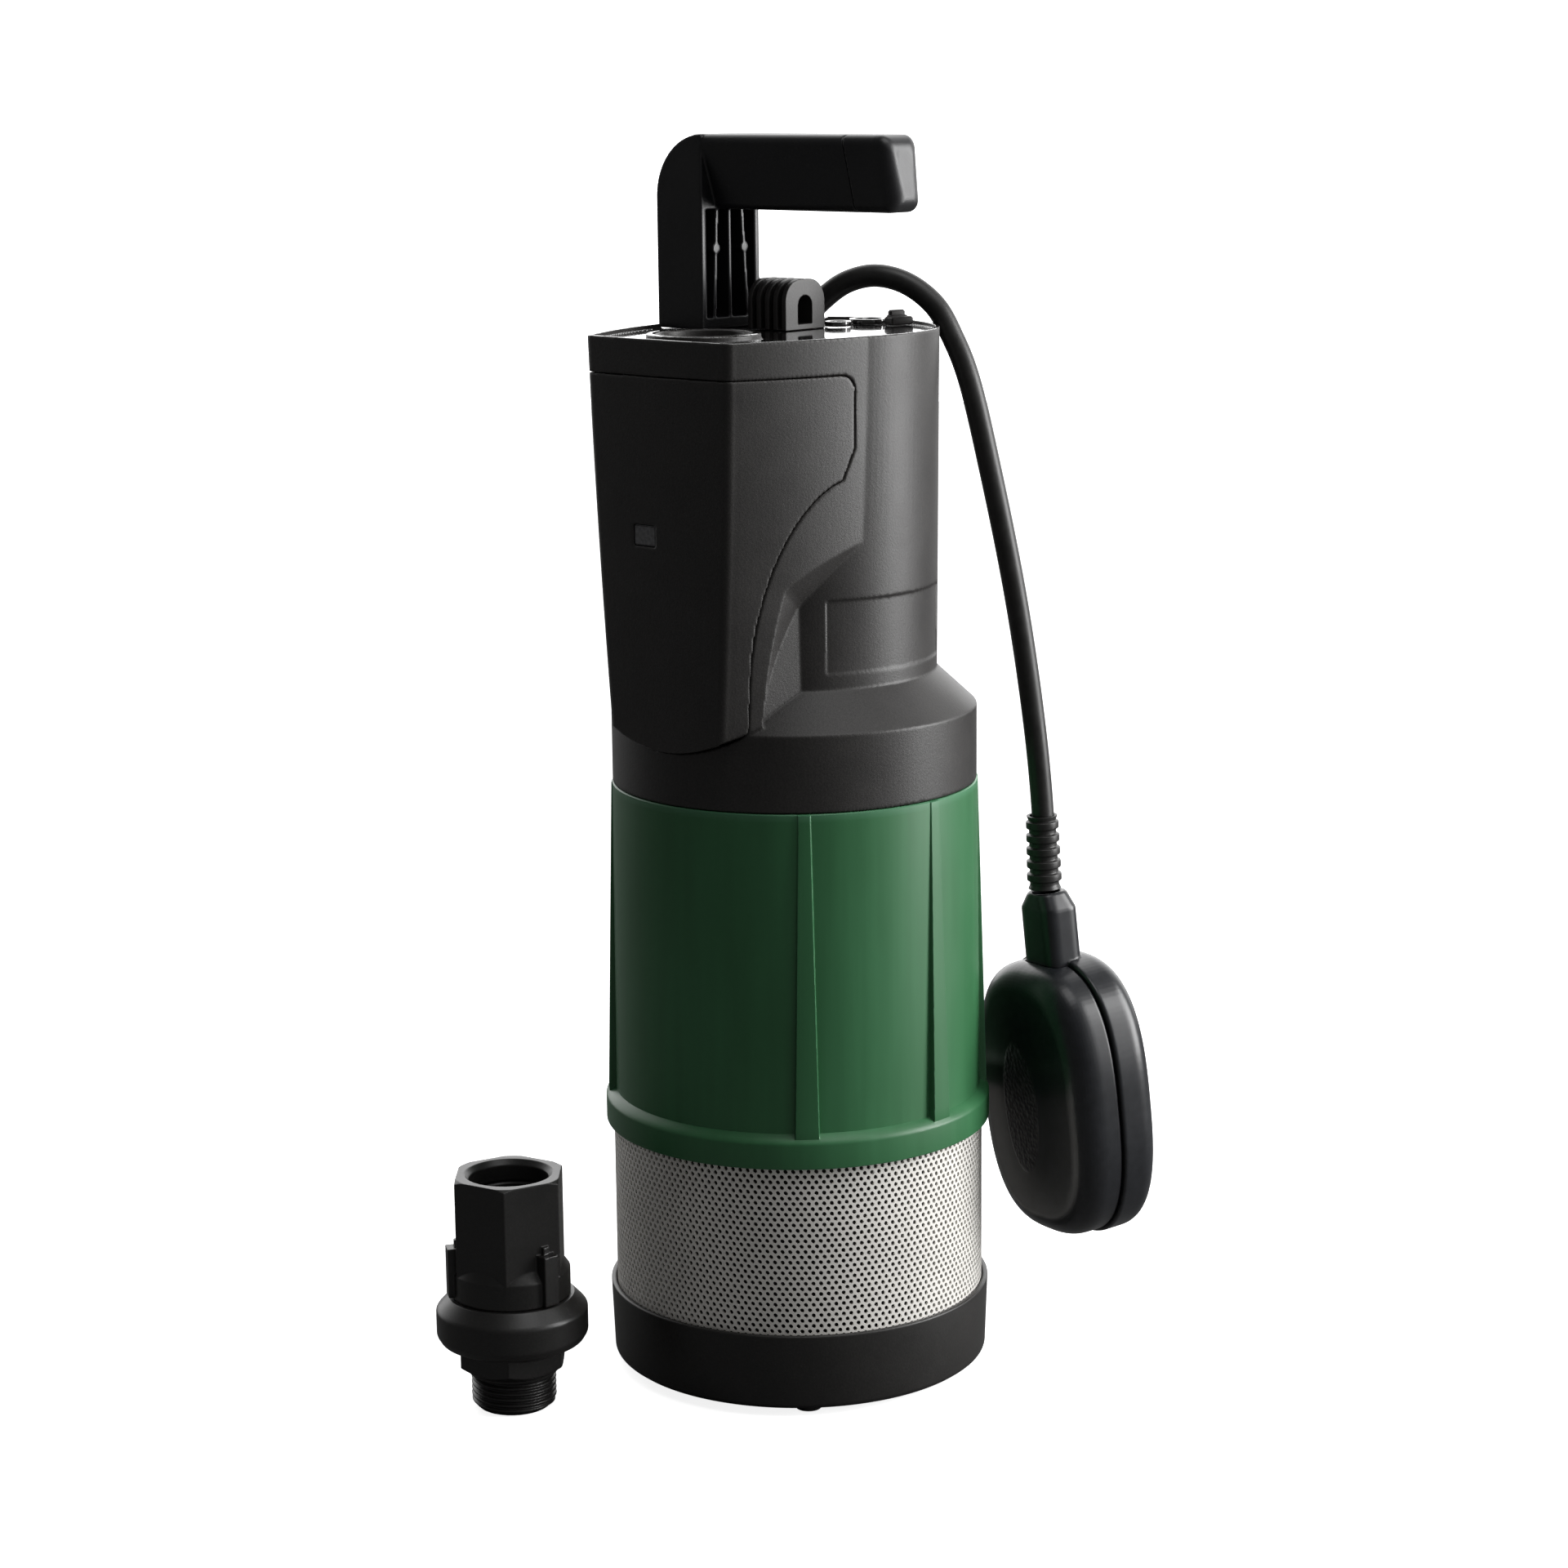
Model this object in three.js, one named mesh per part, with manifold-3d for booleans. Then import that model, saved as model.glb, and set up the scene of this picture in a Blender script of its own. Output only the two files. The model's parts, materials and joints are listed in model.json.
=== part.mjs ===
// Submersible multistage sump pump with a tethered float switch and a loose outlet adapter.
// Millimetres, +Z up. Origin: pump axis at floor level. The flat front of the head faces -Y.

import * as THREE from 'three';
import { mergeVertices } from 'three/addons/utils/BufferGeometryUtils.js';
import Module from 'manifold-3d';

const wasm = await Module();
wasm.setup();

// ---------------------------------------------------------------- driving dimensions

const GAP = 0.3;                  // air left between neighbouring pieces
const WALL = 2.6;                 // moulded plastic wall

// heights along the pump axis
const BASE_RIM = 33.3;
const JACKET_FOOT = 100.3;
const COLLAR_FOOT = 237.8;
const COLLAR_TOP = 267.1;
const TOWER_FOOT = 281.5;
const TOWER_TOP = 413.3;
const DECK = 411.5;               // top plate, just below the bright rim
const GRIP_UNDERSIDE = 457.5;
const GRIP_TOP = 486;

// radii about the pump axis
const BASE_RADIUS = 76.1;
const STRAINER_RADIUS = 73.6;
const JACKET_RADIUS = 71.7;
const JACKET_LIP_RADIUS = 76.6;
const COLLAR_RADIUS = 71.5;
const TOWER_RADIUS = 57.2;        // at the top, 56 at its foot
const TOWER_FOOT_RADIUS = 56;
const MOTOR_RADIUS = 61;
const SHAFT_RADIUS = 5;

// head front
const FRONT_REACH = 73.8;         // front face to axis at the top
const CHIN_REACH = 72.3;          // and at the chin
const FRONT_HALF = 37.9;          // half width of the front at the top
const CHIN_HALF = 29.8;
const CHIN_FOOT = 258.2;
const FRONT_CORNER = 4;
const FRONT_BULGE = 1;
const FLANK_BULGE = 2.5;

// outlet
const OUTLET_Y = -48;
const OUTLET_BORE = 15.2;         // one inch pipe thread, minor radius

// handle
const COLUMN_BACK = -54.6;
const COLUMN_FRONT = -30.6;
const COLUMN_HALF = 16.3;
const BEND_RADIUS = 24;
const GRIP_END = 57;

// float switch, hanging from a cable beside the pump
const CABLE_RADIUS = 4.45;
const CABLE_SIDE = THREE.MathUtils.degToRad(42.5);   // bearing from +X of the plane that the cable hangs in
const FLOAT_TURN = THREE.MathUtils.degToRad(-16.5);
const FLOAT_TILT = THREE.MathUtils.degToRad(5.5);
const FLOAT_HALF_WIDTH = 39;
const FLOAT_HALF_HEIGHT = 57.3;
const FLOAT_HALF_THICK = 20;

// loose adapter standing beside the pump
const ADAPTER_X = -45;
const ADAPTER_Y = -117;

// facets around a circle
const WIDE = 40;
const ROUND = 32;
const MEDIUM = 20;
const SMALL = 10;

// ---------------------------------------------------------------- shape helpers

const vec2 = ([x, y]) => new THREE.Vector2(x, y);
const mix = THREE.MathUtils.lerp;
const radians = THREE.MathUtils.degToRad;

function revolved(profile, segments = ROUND) {
  return new THREE.LatheGeometry(profile.map(vec2), segments).rotateX(Math.PI / 2);
}

function disc(radius, low, high, segments = ROUND) {
  return revolved([[0, low], [radius, low], [radius, high], [0, high]], segments);
}

function ring(outer, inner, low, high, segments = ROUND) {
  return revolved([[inner, low], [outer, low], [outer, high], [inner, high], [inner, low]], segments);
}

function block(x0, x1, y0, y1, z0, z1) {
  return new THREE.BoxGeometry(x1 - x0, y1 - y0, z1 - z0)
    .translate((x0 + x1) / 2, (y0 + y1) / 2, (z0 + z1) / 2);
}

// An outline drawn in X and Y, extruded upward.
function upright(outline, low, high) {
  const shape = new THREE.Shape(outline.map(vec2));
  return new THREE.ExtrudeGeometry(shape, { depth: high - low, bevelEnabled: false }).translate(0, 0, low);
}

// An outline drawn in Y and Z, extruded along X.
function sideways(outline, x0, x1) {
  const turn = new THREE.Matrix4().makeBasis(
    new THREE.Vector3(0, 1, 0), new THREE.Vector3(0, 0, 1), new THREE.Vector3(1, 0, 0));
  return upright(outline, x0, x1).applyMatrix4(turn);
}

// An outline drawn in X and Z, extruded along Y.
function frontways(outline, y0, y1) {
  const turn = new THREE.Matrix4().makeBasis(
    new THREE.Vector3(1, 0, 0), new THREE.Vector3(0, 0, 1), new THREE.Vector3(0, -1, 0));
  return upright(outline, -y1, -y0).applyMatrix4(turn);
}

// A closed skin through rings that all have the same number of points.
function lofted(rings) {
  const count = rings[0].length;
  const positions = rings.flat(2);
  const index = [];
  for (let level = 0; level + 1 < rings.length; level += 1) {
    for (let i = 0; i < count; i += 1) {
      const a = level * count + i;
      const b = level * count + (i + 1) % count;
      index.push(a, b, b + count, a, b + count, a + count);
    }
  }
  const reach = (k) => rings[0].map((p) => p[k]);
  const spans = [0, 1, 2].map((k) => Math.max(...reach(k)) - Math.min(...reach(k)));
  const axes = [0, 1, 2].filter((k) => k !== spans.indexOf(Math.min(...spans)));
  const capOf = (points) => {
    const outline = points.map((p) => vec2(axes.map((k) => p[k])));
    return THREE.ShapeUtils.triangulateShape(outline, []);
  };
  const last = (rings.length - 1) * count;
  capOf(rings[0]).forEach(([a, b, c]) => index.push(c, b, a));
  capOf(rings[rings.length - 1]).forEach(([a, b, c]) => index.push(last + a, last + b, last + c));
  const geometry = new THREE.BufferGeometry();
  geometry.setAttribute('position', new THREE.Float32BufferAttribute(positions, 3));
  geometry.setIndex(index);
  return geometry;
}

function arc(cx, cy, radius, fromDegrees, toDegrees, steps) {
  return Array.from({ length: steps + 1 }, (_, i) => {
    const a = radians(mix(fromDegrees, toDegrees, i / steps));
    return [cx + radius * Math.cos(a), cy + radius * Math.sin(a)];
  });
}

function hexagon(acrossFlats, turnDegrees = 0) {
  return arc(0, 0, acrossFlats / Math.sqrt(3), turnDegrees, turnDegrees + 300, 5);
}

function along(points, radius, sides, steps) {
  const path = new THREE.CatmullRomCurve3(points.map((p) => new THREE.Vector3(...p)), false, 'centripetal');
  const shape = new THREE.Shape(arc(0, 0, radius, 0, 360 - 360 / sides, sides - 1).map(vec2));
  return new THREE.ExtrudeGeometry(shape, { steps, extrudePath: path, bevelEnabled: false });
}

// ---------------------------------------------------------------- joining and cutting

function signedVolume(points, triangles) {
  const corner = (i) => new THREE.Vector3().fromArray(points, 3 * i);
  let total = 0;
  for (let i = 0; i < triangles.length; i += 3) {
    total += corner(triangles[i]).dot(corner(triangles[i + 1]).cross(corner(triangles[i + 2])));
  }
  return total;
}

function solid(geometry) {
  const bare = geometry.clone();
  bare.deleteAttribute('normal');
  bare.deleteAttribute('uv');
  const merged = mergeVertices(bare);
  const points = merged.attributes.position.array;
  const corners = merged.index.array;
  const triangles = [];
  for (let i = 0; i < corners.length; i += 3) {
    const [a, b, c] = corners.slice(i, i + 3);
    if (a !== b && b !== c && c !== a) triangles.push(a, b, c);
  }
  if (signedVolume(points, triangles) < 0) triangles.reverse();
  return new wasm.Manifold(new wasm.Mesh({
    numProp: 3, vertProperties: Float32Array.from(points), triVerts: Uint32Array.from(triangles) }));
}

const asSolid = (item) => (item.isBufferGeometry ? solid(item) : item);
const joined = (first, ...rest) => rest.reduce((sum, item) => sum.add(asSolid(item)), asSolid(first));
const cut = (first, ...tools) => tools.reduce((left, item) => left.subtract(asSolid(item)), asSolid(first));
const common = (first, second) => asSolid(first).intersect(asSolid(second));

function geometryOf(item) {
  const mesh = asSolid(item).getMesh();
  const geometry = new THREE.BufferGeometry();
  geometry.setAttribute('position', new THREE.BufferAttribute(Float32Array.from(mesh.vertProperties), 3));
  geometry.setIndex(Array.from(mesh.triVerts));
  geometry.computeVertexNormals();
  return geometry;
}

// ---------------------------------------------------------------- materials

const finish = (color, roughness, metalness) => () => (
  new THREE.MeshStandardMaterial({ color, roughness, metalness }));
const blackPlastic = finish(0x2a2826, 0.55, 0);
const handlePlastic = finish(0x1b1c22, 0.45, 0);
const greenPlastic = finish(0x2f6b43, 0.5, 0);
const steel = finish(0xb9b4ac, 0.35, 1);
const floatPlastic = finish(0x1a1d22, 0.35, 0);
const cableRubber = finish(0x1c1b1a, 0.6, 0);
const copper = finish(0xa8623a, 0.4, 1);
const ceramic = finish(0xd8d4c8, 0.3, 0);
const impellerPlastic = finish(0x30353a, 0.45, 0);
const boardGreen = finish(0x1f5a3a, 0.6, 0);
const clearLens = finish(0x7d8084, 0.2, 0);
const sealRubber = finish(0x111111, 0.8, 0);

const pump = new THREE.Group();

function part(name, item, material, parent = pump) {
  const mesh = new THREE.Mesh(geometryOf(item), material());
  mesh.name = name;
  parent.add(mesh);
  return mesh;
}

// ---------------------------------------------------------------- base and strainer

const BASE_FLOOR = 6;
const CASING_FOOT = 17;
const PILLAR_RING = 55;
const FEET_RING = 64;
const QUARTERS = [0, 90, 180, 270];

const atBearing = (geometry, degrees, radius) => geometry
  .translate(radius, 0, 0).rotateZ(radians(degrees));
const ringOf = (make, bearings, radius) => bearings.map((b) => atBearing(make(), b, radius));

function baseCup() {
  const wallInner = STRAINER_RADIUS + GAP;
  const cup = revolved([
    [0, 3], [73.4, 3], [75.2, 5.5], [BASE_RADIUS, BASE_RIM], [wallInner, BASE_RIM],
    [wallInner, BASE_FLOOR], [0, BASE_FLOOR]], WIDE);
  const foot = () => disc(5.5, 0, 4, SMALL);
  const feet = [foot(), ...ringOf(foot, QUARTERS.map((bearing) => bearing + 45), FEET_RING)];
  const pillars = ringOf(() => disc(4.5, 5, CASING_FOOT - GAP, SMALL), QUARTERS, PILLAR_RING);
  const screwHole = () => revolved([[0, 2], [3.8, 2], [3.8, 5], [2, 5], [2, 18], [0, 18]], SMALL);
  return cut(joined(cup, ...feet, ...pillars), ...ringOf(screwHole, QUARTERS, PILLAR_RING));
}

part('base_cup', baseCup(), blackPlastic);
part('strainer_sleeve',
  ring(STRAINER_RADIUS, STRAINER_RADIUS - 1, BASE_FLOOR + GAP, JACKET_FOOT + 1.5, WIDE), steel);

QUARTERS.forEach((bearing, i) => {
  const screw = joined(disc(3.3, 3.2, 4.9, SMALL), disc(1.7, 4.5, 21, SMALL));
  part(`base_screw_${i + 1}`, solid(atBearing(geometryOf(screw), bearing, PILLAR_RING)), steel);
});

// ---------------------------------------------------------------- green outer jacket

const LIP_TOP = 112;
const RIB_BEARINGS = [45, 90, 135, 180, 225, 270, 315];   // from the front; the front itself has none
const RIB_FOOT_RADIUS = 75.6;

function jacketRib(bearing) {
  const section = (half, radius, z) => [
    [-half, -radius, z], [half, -radius, z], [half, -68, z], [-half, -68, z]];
  return lofted([section(4.6, RIB_FOOT_RADIUS, LIP_TOP - 2), section(2.4, 72.3, COLLAR_FOOT - GAP)])
    .rotateZ(radians(bearing));
}

function outerJacket() {
  const inner = JACKET_RADIUS - WALL;
  const shell = revolved([
    [STRAINER_RADIUS + GAP, JACKET_FOOT], [JACKET_LIP_RADIUS, JACKET_FOOT],
    [JACKET_LIP_RADIUS, LIP_TOP - 1.5],
    [75.4, LIP_TOP], [72.8, LIP_TOP + 1.5], [JACKET_RADIUS, COLLAR_FOOT - GAP], [67.6, COLLAR_FOOT - GAP],
    [67.6, 250], [65.2, 250], [65.2, COLLAR_FOOT - 8], [inner, COLLAR_FOOT - 14], [inner, 104.5],
    [STRAINER_RADIUS + GAP, 104.5], [STRAINER_RADIUS + GAP, JACKET_FOOT]], WIDE);
  return joined(shell, ...RIB_BEARINGS.map(jacketRib));
}

part('outer_jacket', outerJacket(), greenPlastic);

// ---------------------------------------------------------------- head outline

const { mapLinear, clamp, radToDeg } = THREE.MathUtils;
const CORE_INSET = 0.5;   // the round core stays just inside the outer skin
const towerRadius = (z) => mapLinear(z, TOWER_FOOT, TOWER_TOP, TOWER_FOOT_RADIUS, TOWER_RADIUS);
const frontReach = (z) => mapLinear(z, CHIN_FOOT, TOWER_TOP, CHIN_REACH, FRONT_REACH);

function frontHalf(z) {
  const t = clamp((z - CHIN_FOOT) / (TOWER_TOP - CHIN_FOOT), 0, 1);
  return CHIN_HALF + (FRONT_HALF - CHIN_HALF) * t * (1.45 - 0.45 * t);
}

// Half of the head's plan: front face, rounded corner, flank tangent to the round tower, back arc.
function headPlan(z, inset) {
  const radius = towerRadius(z) - inset;
  const corner = Math.max(FRONT_CORNER - inset, 1);
  const cx = frontHalf(z) - inset - corner;
  const cy = -(frontReach(z) - inset - corner);
  const bearing = Math.atan2(cy, cx) + Math.acos((radius - corner) / Math.hypot(cx, cy));
  const normal = [Math.cos(bearing), Math.sin(bearing)];
  return { radius, corner, cx, cy, bearing, normal };
}

function headRing(z, inset = 0) {
  const { radius, corner, cx, cy, bearing, normal } = headPlan(z, inset);
  const right = [];
  for (let i = 0; i < 2; i += 1) {
    const t = i / 2;
    right.push([cx * t, cy - corner - FRONT_BULGE * (1 - t * t)]);
  }
  right.push(...arc(cx, cy, corner, -90, radToDeg(bearing), 3));
  for (let i = 1; i < 4; i += 1) {
    const t = i / 4;
    const swell = FLANK_BULGE * 4 * t * (1 - t);
    right.push([
      mix(cx + corner * normal[0], radius * normal[0], t) + swell * normal[0],
      mix(cy + corner * normal[1], radius * normal[1], t) + swell * normal[1]]);
  }
  right.push(...arc(0, 0, radius, radToDeg(bearing), 90, 10));
  const left = right.slice(1, -1).reverse().map(([x, y]) => [-x, y]);
  return [...right, ...left].map(([x, y]) => [x, y, z]);
}

const headLoft = (levels, inset) => lofted(levels.map((z) => headRing(z, inset)));

// The scoop on each flank: an arch centred low behind the axis, steep where it meets the round tower
// and flaring outward over the flank.
const SCOOP_Y = 50;
const SCOOP_Z = 252.6;
const SCOOP_RADIUS = 109;
const SCOOP_FLARE = 19;
const SCOOP_START = 29.3;
const SCOOP_STOP = 94;
const FACET_BACK = [39.7, -39.5];
const FACET_FRONT = [33.4, -63];

function scoopFlare(angle) {
  const t = clamp((angle - SCOOP_START) / (82 - SCOOP_START), 0, 1);
  return 1 + SCOOP_FLARE * Math.sin(Math.PI * Math.sqrt(t)) ** 1.3;
}

function scoopPoint(angle, radius) {
  const a = radians(angle);
  return [SCOOP_Y - radius * Math.sin(a), SCOOP_Z + radius * Math.cos(a)];
}

function coreHalf(y) {
  if (y > FACET_BACK[1]) return Math.sqrt(TOWER_FOOT_RADIUS ** 2 - y ** 2) + 0.5;
  return mapLinear(y, FACET_BACK[1], FACET_FRONT[1], FACET_BACK[0], FACET_FRONT[0]);
}

function scoopCutter(side) {
  const angles = Array.from({ length: 11 }, (_, i) => mix(SCOOP_START, SCOOP_STOP, i / 10));
  const level = (offset, flareShare) => {
    const outline = angles.map((angle) => {
      const [yCore] = scoopPoint(angle, SCOOP_RADIUS);
      const [y, z] = scoopPoint(angle, SCOOP_RADIUS + flareShare * scoopFlare(angle));
      return [side * (coreHalf(yCore) + offset), y, z];
    });
    const x = side * (45 + offset);
    return [...outline, [x, 30, 243], [x, 30, 320]];
  };
  const levels = [level(-9, -0.2), level(0, 0), level(4.2, 1), level(40, 1.8)];
  return lofted(side > 0 ? levels : levels.reverse());
}

// The front cover takes everything ahead of this side outline.
function coverRegion(grow) {
  const rear = -23.3 + grow;
  const top = 399.3 + grow;
  const seam = Array.from({ length: 7 }, (_, i) => {
    const angle = mix(36, 86, i / 6);
    return scoopPoint(angle, SCOOP_RADIUS + scoopFlare(angle) + mix(7, 4, i / 6) - grow);
  });
  const upperCorner = arc(rear - 6, top - 6, 6, 90, 0, 3);
  const outline = [[-95, top], ...upperCorner, [rear, 372], ...seam, [-62 + grow, 250], [-95, 250]];
  return sideways(outline, -90, 90);
}

// ---------------------------------------------------------------- head housing

const DRY_FLOOR = 285;
const DECK_UNDERSIDE = 407.5;
const LEVELS = [CHIN_FOOT - 2, 280, 305, 330, 360, TOWER_TOP];

const CHIN_ARC = 64;

// The lower edge of the front is a shallow arc; everything below it is outside the mask.
function chinMask(grow) {
  const centre = CHIN_FOOT + CHIN_ARC;
  const lowerEdge = arc(0, centre, CHIN_ARC + grow, 180, 360, 16);
  return frontways([...lowerEdge, [80, centre], [80, 420], [-80, 420], [-80, centre]], -90, 70);
}

function headBlank() {
  const facetCore = upright([
    [-FACET_FRONT[0], FACET_FRONT[1]], FACET_FRONT, FACET_BACK, [FACET_BACK[0], 0], [-FACET_BACK[0], 0],
    [-FACET_BACK[0], FACET_BACK[1]]], 262, 340);
  const coreRadius = TOWER_FOOT_RADIUS - CORE_INSET;
  const tower = revolved([[0, 262], [coreRadius, 262], [coreRadius, TOWER_FOOT],
    [towerRadius(400) - CORE_INSET, 400], [0, 400]], WIDE);
  const skirt = revolved([[0, COLLAR_FOOT], [COLLAR_RADIUS, COLLAR_FOOT], [COLLAR_RADIUS, COLLAR_TOP],
    [TOWER_FOOT_RADIUS, TOWER_FOOT], [0, TOWER_FOOT]], WIDE);
  const carved = cut(common(headLoft(LEVELS, 0), chinMask(0)), scoopCutter(1), scoopCutter(-1));
  return { head: joined(carved, facetCore, tower, skirt), carved };
}

const { head, carved } = headBlank();
const GLANDS = { float: [-16.2, 27.8], power: [-39.5, 25.4] };
const PLUGS = [[-1, 46.6, 7.4], [-1, 28.8, 5.2]];
const HANDLE_BOLTS = [[-42, -4.4], [-42, 4.4]];

const shifted = (geometry, x, y) => geometry.translate(x, y, 0);

const CHIN_SEAT = COLLAR_RADIUS - 2.2;   // the collar is let in behind the chin as far as this radius

// What the cover leaves of the head: all of it above the shoulder, but only a shallow seat in the collar.
function coverSeat() {
  const above = common(coverRegion(GAP), block(-90, 90, -95, 90, TOWER_FOOT, 420));
  const chin = common(headLoft([CHIN_FOOT - 4, TOWER_FOOT + 1], -GAP), chinMask(GAP));
  const seat = cut(common(chin, coverRegion(GAP)), disc(CHIN_SEAT, 240, 300, WIDE));
  return joined(above, seat);
}

function headHousing() {
  const wetChamber = revolved([[0, COLLAR_FOOT - 1], [68.3, COLLAR_FOOT - 1], [68.3, 253.3], [66, 253.3],
    [66, 262], [52, 279], [0, 279]], ROUND);
  const dryChamber = headLoft([DRY_FLOOR, DECK_UNDERSIDE], WALL + 0.6);
  const dryMask = joined(disc(52.8, DRY_FLOOR, DECK_UNDERSIDE), sideways(
    [[-90, 318], [-20, 340], [-20, DECK_UNDERSIDE], [-90, DECK_UNDERSIDE]], -60, 60));
  const rimRecess = headLoft([DECK, TOWER_TOP + 1], 1.7);
  const duct = shifted(outletDuct(), 0, OUTLET_Y);
  const seatHalf = COLUMN_HALF + GAP;
  const columnSeat = block(-60, COLUMN_FRONT + GAP, -seatHalf, seatHalf, DECK, TOWER_TOP + 1);
  const shell = cut(head, coverSeat(), wetChamber, common(dryChamber, dryMask), rimRecess, columnSeat);
  const bores = [
    shifted(disc(OUTLET_BORE, 255, 420, MEDIUM), 0, OUTLET_Y),
    shifted(disc(18.5, 392, 420, MEDIUM), 0, OUTLET_Y),
    ...Object.values(GLANDS).map((place) => shifted(disc(CABLE_RADIUS + 1, 400, 415, SMALL), ...place)),
    ...HANDLE_BOLTS.map(([x, y]) => shifted(disc(2, 400, 415, SMALL), x, y))];
  return cut(joined(shell, duct), ...bores);
}

function outletDuct() {
  return revolved([[0, 278], [17.6, 278], [17.6, 388], [20.4, 391], [20.4, DECK_UNDERSIDE],
    [21.5, DECK_UNDERSIDE], [21.5, TOWER_TOP + 0.8], [0, TOWER_TOP + 0.8]], MEDIUM);
}

function frontCover() {
  const hollow = headLoft([263, 280, 305, 330, 360, 401], WALL);
  const backing = disc(CHIN_SEAT + GAP, 240, TOWER_FOOT, WIDE);
  const shell = cut(common(carved, coverRegion(0)), hollow, backing);
  const wells = shifted(disc(22, 380, 402, MEDIUM), 0, OUTLET_Y);
  return cut(shell, windowBlock(GAP), wells);
}

const WINDOW = { x: -7.4, z: 340, width: 11, height: 7.5 };

function windowBlock(grow) {
  const halfWidth = WINDOW.width / 2 + grow;
  const halfHeight = WINDOW.height / 2 + grow;
  return block(WINDOW.x - halfWidth, WINDOW.x + halfWidth, -73.6 - 20 * grow, -70.6 + 20 * grow,
    WINDOW.z - halfHeight, WINDOW.z + halfHeight);
}

part('head_housing', headHousing(), blackPlastic);
part('front_cover', frontCover(), blackPlastic);
part('status_window', windowBlock(0), clearLens);
part('outlet_insert',
  shifted(ring(18.2, OUTLET_BORE, 392.3, TOWER_TOP + 0.6, MEDIUM), 0, OUTLET_Y), blackPlastic);

// ---------------------------------------------------------------- handle

function gripSection(x) {
  const t = clamp((x - COLUMN_FRONT) / (GRIP_END - COLUMN_FRONT), 0, 1);
  const topHalf = mix(COLUMN_HALF, 9.4, t);
  const footHalf = mix(9, 8.6, t);
  const round = 3.5;
  const corners = [
    [footHalf - round, GRIP_UNDERSIDE + round, -90], [topHalf - round, GRIP_TOP - round, 0],
    [round - topHalf, GRIP_TOP - round, 90], [round - footHalf, GRIP_UNDERSIDE + round, 180]];
  const outline = corners.flatMap(([y, z, start]) => arc(y, z, round, start, start + 90, 4));
  return outline.map(([y, z]) => [x, y, z]);
}

function gripLoft() {
  const end = gripSection(GRIP_END).map(([x, y, z]) => {
    const lean = mapLinear(z, GRIP_UNDERSIDE, GRIP_TOP, 3, -3);
    return [x + lean, y, z];
  });
  const nose = end.map(([x, y, z]) => [x + 2, y * 0.72, mix((GRIP_UNDERSIDE + GRIP_TOP) / 2, z, 0.82)]);
  return lofted([gripSection(COLUMN_FRONT - 6), gripSection(0), gripSection(30), end, nose]);
}

const CAP_SEAM = 38.5;
const SEAM_LEAN = 2.1;

// Everything on one side of the leaning seam between the grip and its end cap.
function seamWedge(before, shift) {
  const foot = CAP_SEAM + SEAM_LEAN + shift;
  const top = CAP_SEAM - SEAM_LEAN + shift;
  const far = before ? -70 : 80;
  const seam = [[foot + 4, 400], [foot, GRIP_UNDERSIDE], [top, GRIP_TOP], [top, 500]];
  return frontways([[far, 400], ...seam, [far, 500]], -30, 30);
}

function handle() {
  const foot = DECK + GAP;
  const bend = arc(COLUMN_BACK + BEND_RADIUS, GRIP_TOP - BEND_RADIUS, BEND_RADIUS, 90, 180, 8);
  const column = frontways([[COLUMN_FRONT, foot], [COLUMN_FRONT, GRIP_TOP], ...bend, [COLUMN_BACK, foot]],
    -COLUMN_HALF, COLUMN_HALF);
  const channel = block(-51.6, 0, -13.6, 13.6, 416, GRIP_UNDERSIDE);
  const ribTop = GRIP_UNDERSIDE + 1;
  const rib = (topY, footY) => sideways(
    [[topY - 0.8, ribTop], [footY - 0.8, 415], [footY + 0.8, 415], [topY + 0.8, ribTop]], -52, COLUMN_FRONT);
  const grip = common(gripLoft(), seamWedge(true, -GAP / 2));
  const socket = block(-10, 60, -6, 6, 463, 480.5);
  const boltHoles = HANDLE_BOLTS.map(([x, y]) => shifted(disc(2, 410, 418, SMALL), x, y));
  return cut(joined(cut(column, channel), rib(-7, -9), rib(0, 0), rib(7, 10), grip), socket, ...boltHoles);
}

function handleEndCap() {
  const outer = common(gripLoft(), seamWedge(false, GAP / 2));
  return joined(outer, block(24, 46, -6 + GAP, 6 - GAP, 463 + GAP, 480.5 - GAP));
}

part('handle', handle(), handlePlastic);
part('handle_end_cap', handleEndCap(), handlePlastic);
HANDLE_BOLTS.forEach(([x, y], i) => {
  const bolt = joined(disc(3.1, 416 + GAP, 419, SMALL), disc(1.7, 401, 417, SMALL));
  part(`handle_bolt_${i + 1}`, solid(shifted(geometryOf(bolt), x, y)), steel);
});

// ---------------------------------------------------------------- finned lifting lug and cable glands

const LUG = { x: 0, y: 8.7, half: 11.2, foot: DECK + GAP, top: 431, pitch: 4.4, fin: 2.2 };

function archOutline(half, foot, top, round, centre) {
  const right = arc(centre + half - round, top - round, round, 0, 90, 5);
  const left = arc(centre - half + round, top - round, round, 90, 180, 5);
  return [[centre - half, foot], [centre + half, foot], ...right, ...left];
}

function liftingLug() {
  const plate = archOutline(LUG.half, LUG.foot, LUG.top, 8.5, LUG.y);
  const fins = [0, 1, 2, 3, 4].map((i) => {
    const face = LUG.x - i * LUG.pitch;
    return sideways(plate, face - LUG.fin, face);
  });
  const core = archOutline(LUG.half - 3, LUG.foot, LUG.top - 3, 6.5, LUG.y);
  const spine = sideways(core, -4 * LUG.pitch - 1, -1);
  const eye = sideways(archOutline(4, LUG.foot + 2, LUG.foot + 13, 3.9, LUG.y), -30, 5);
  return cut(joined(spine, ...fins), eye);
}

part('lifting_lug', liftingLug(), blackPlastic);

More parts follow.
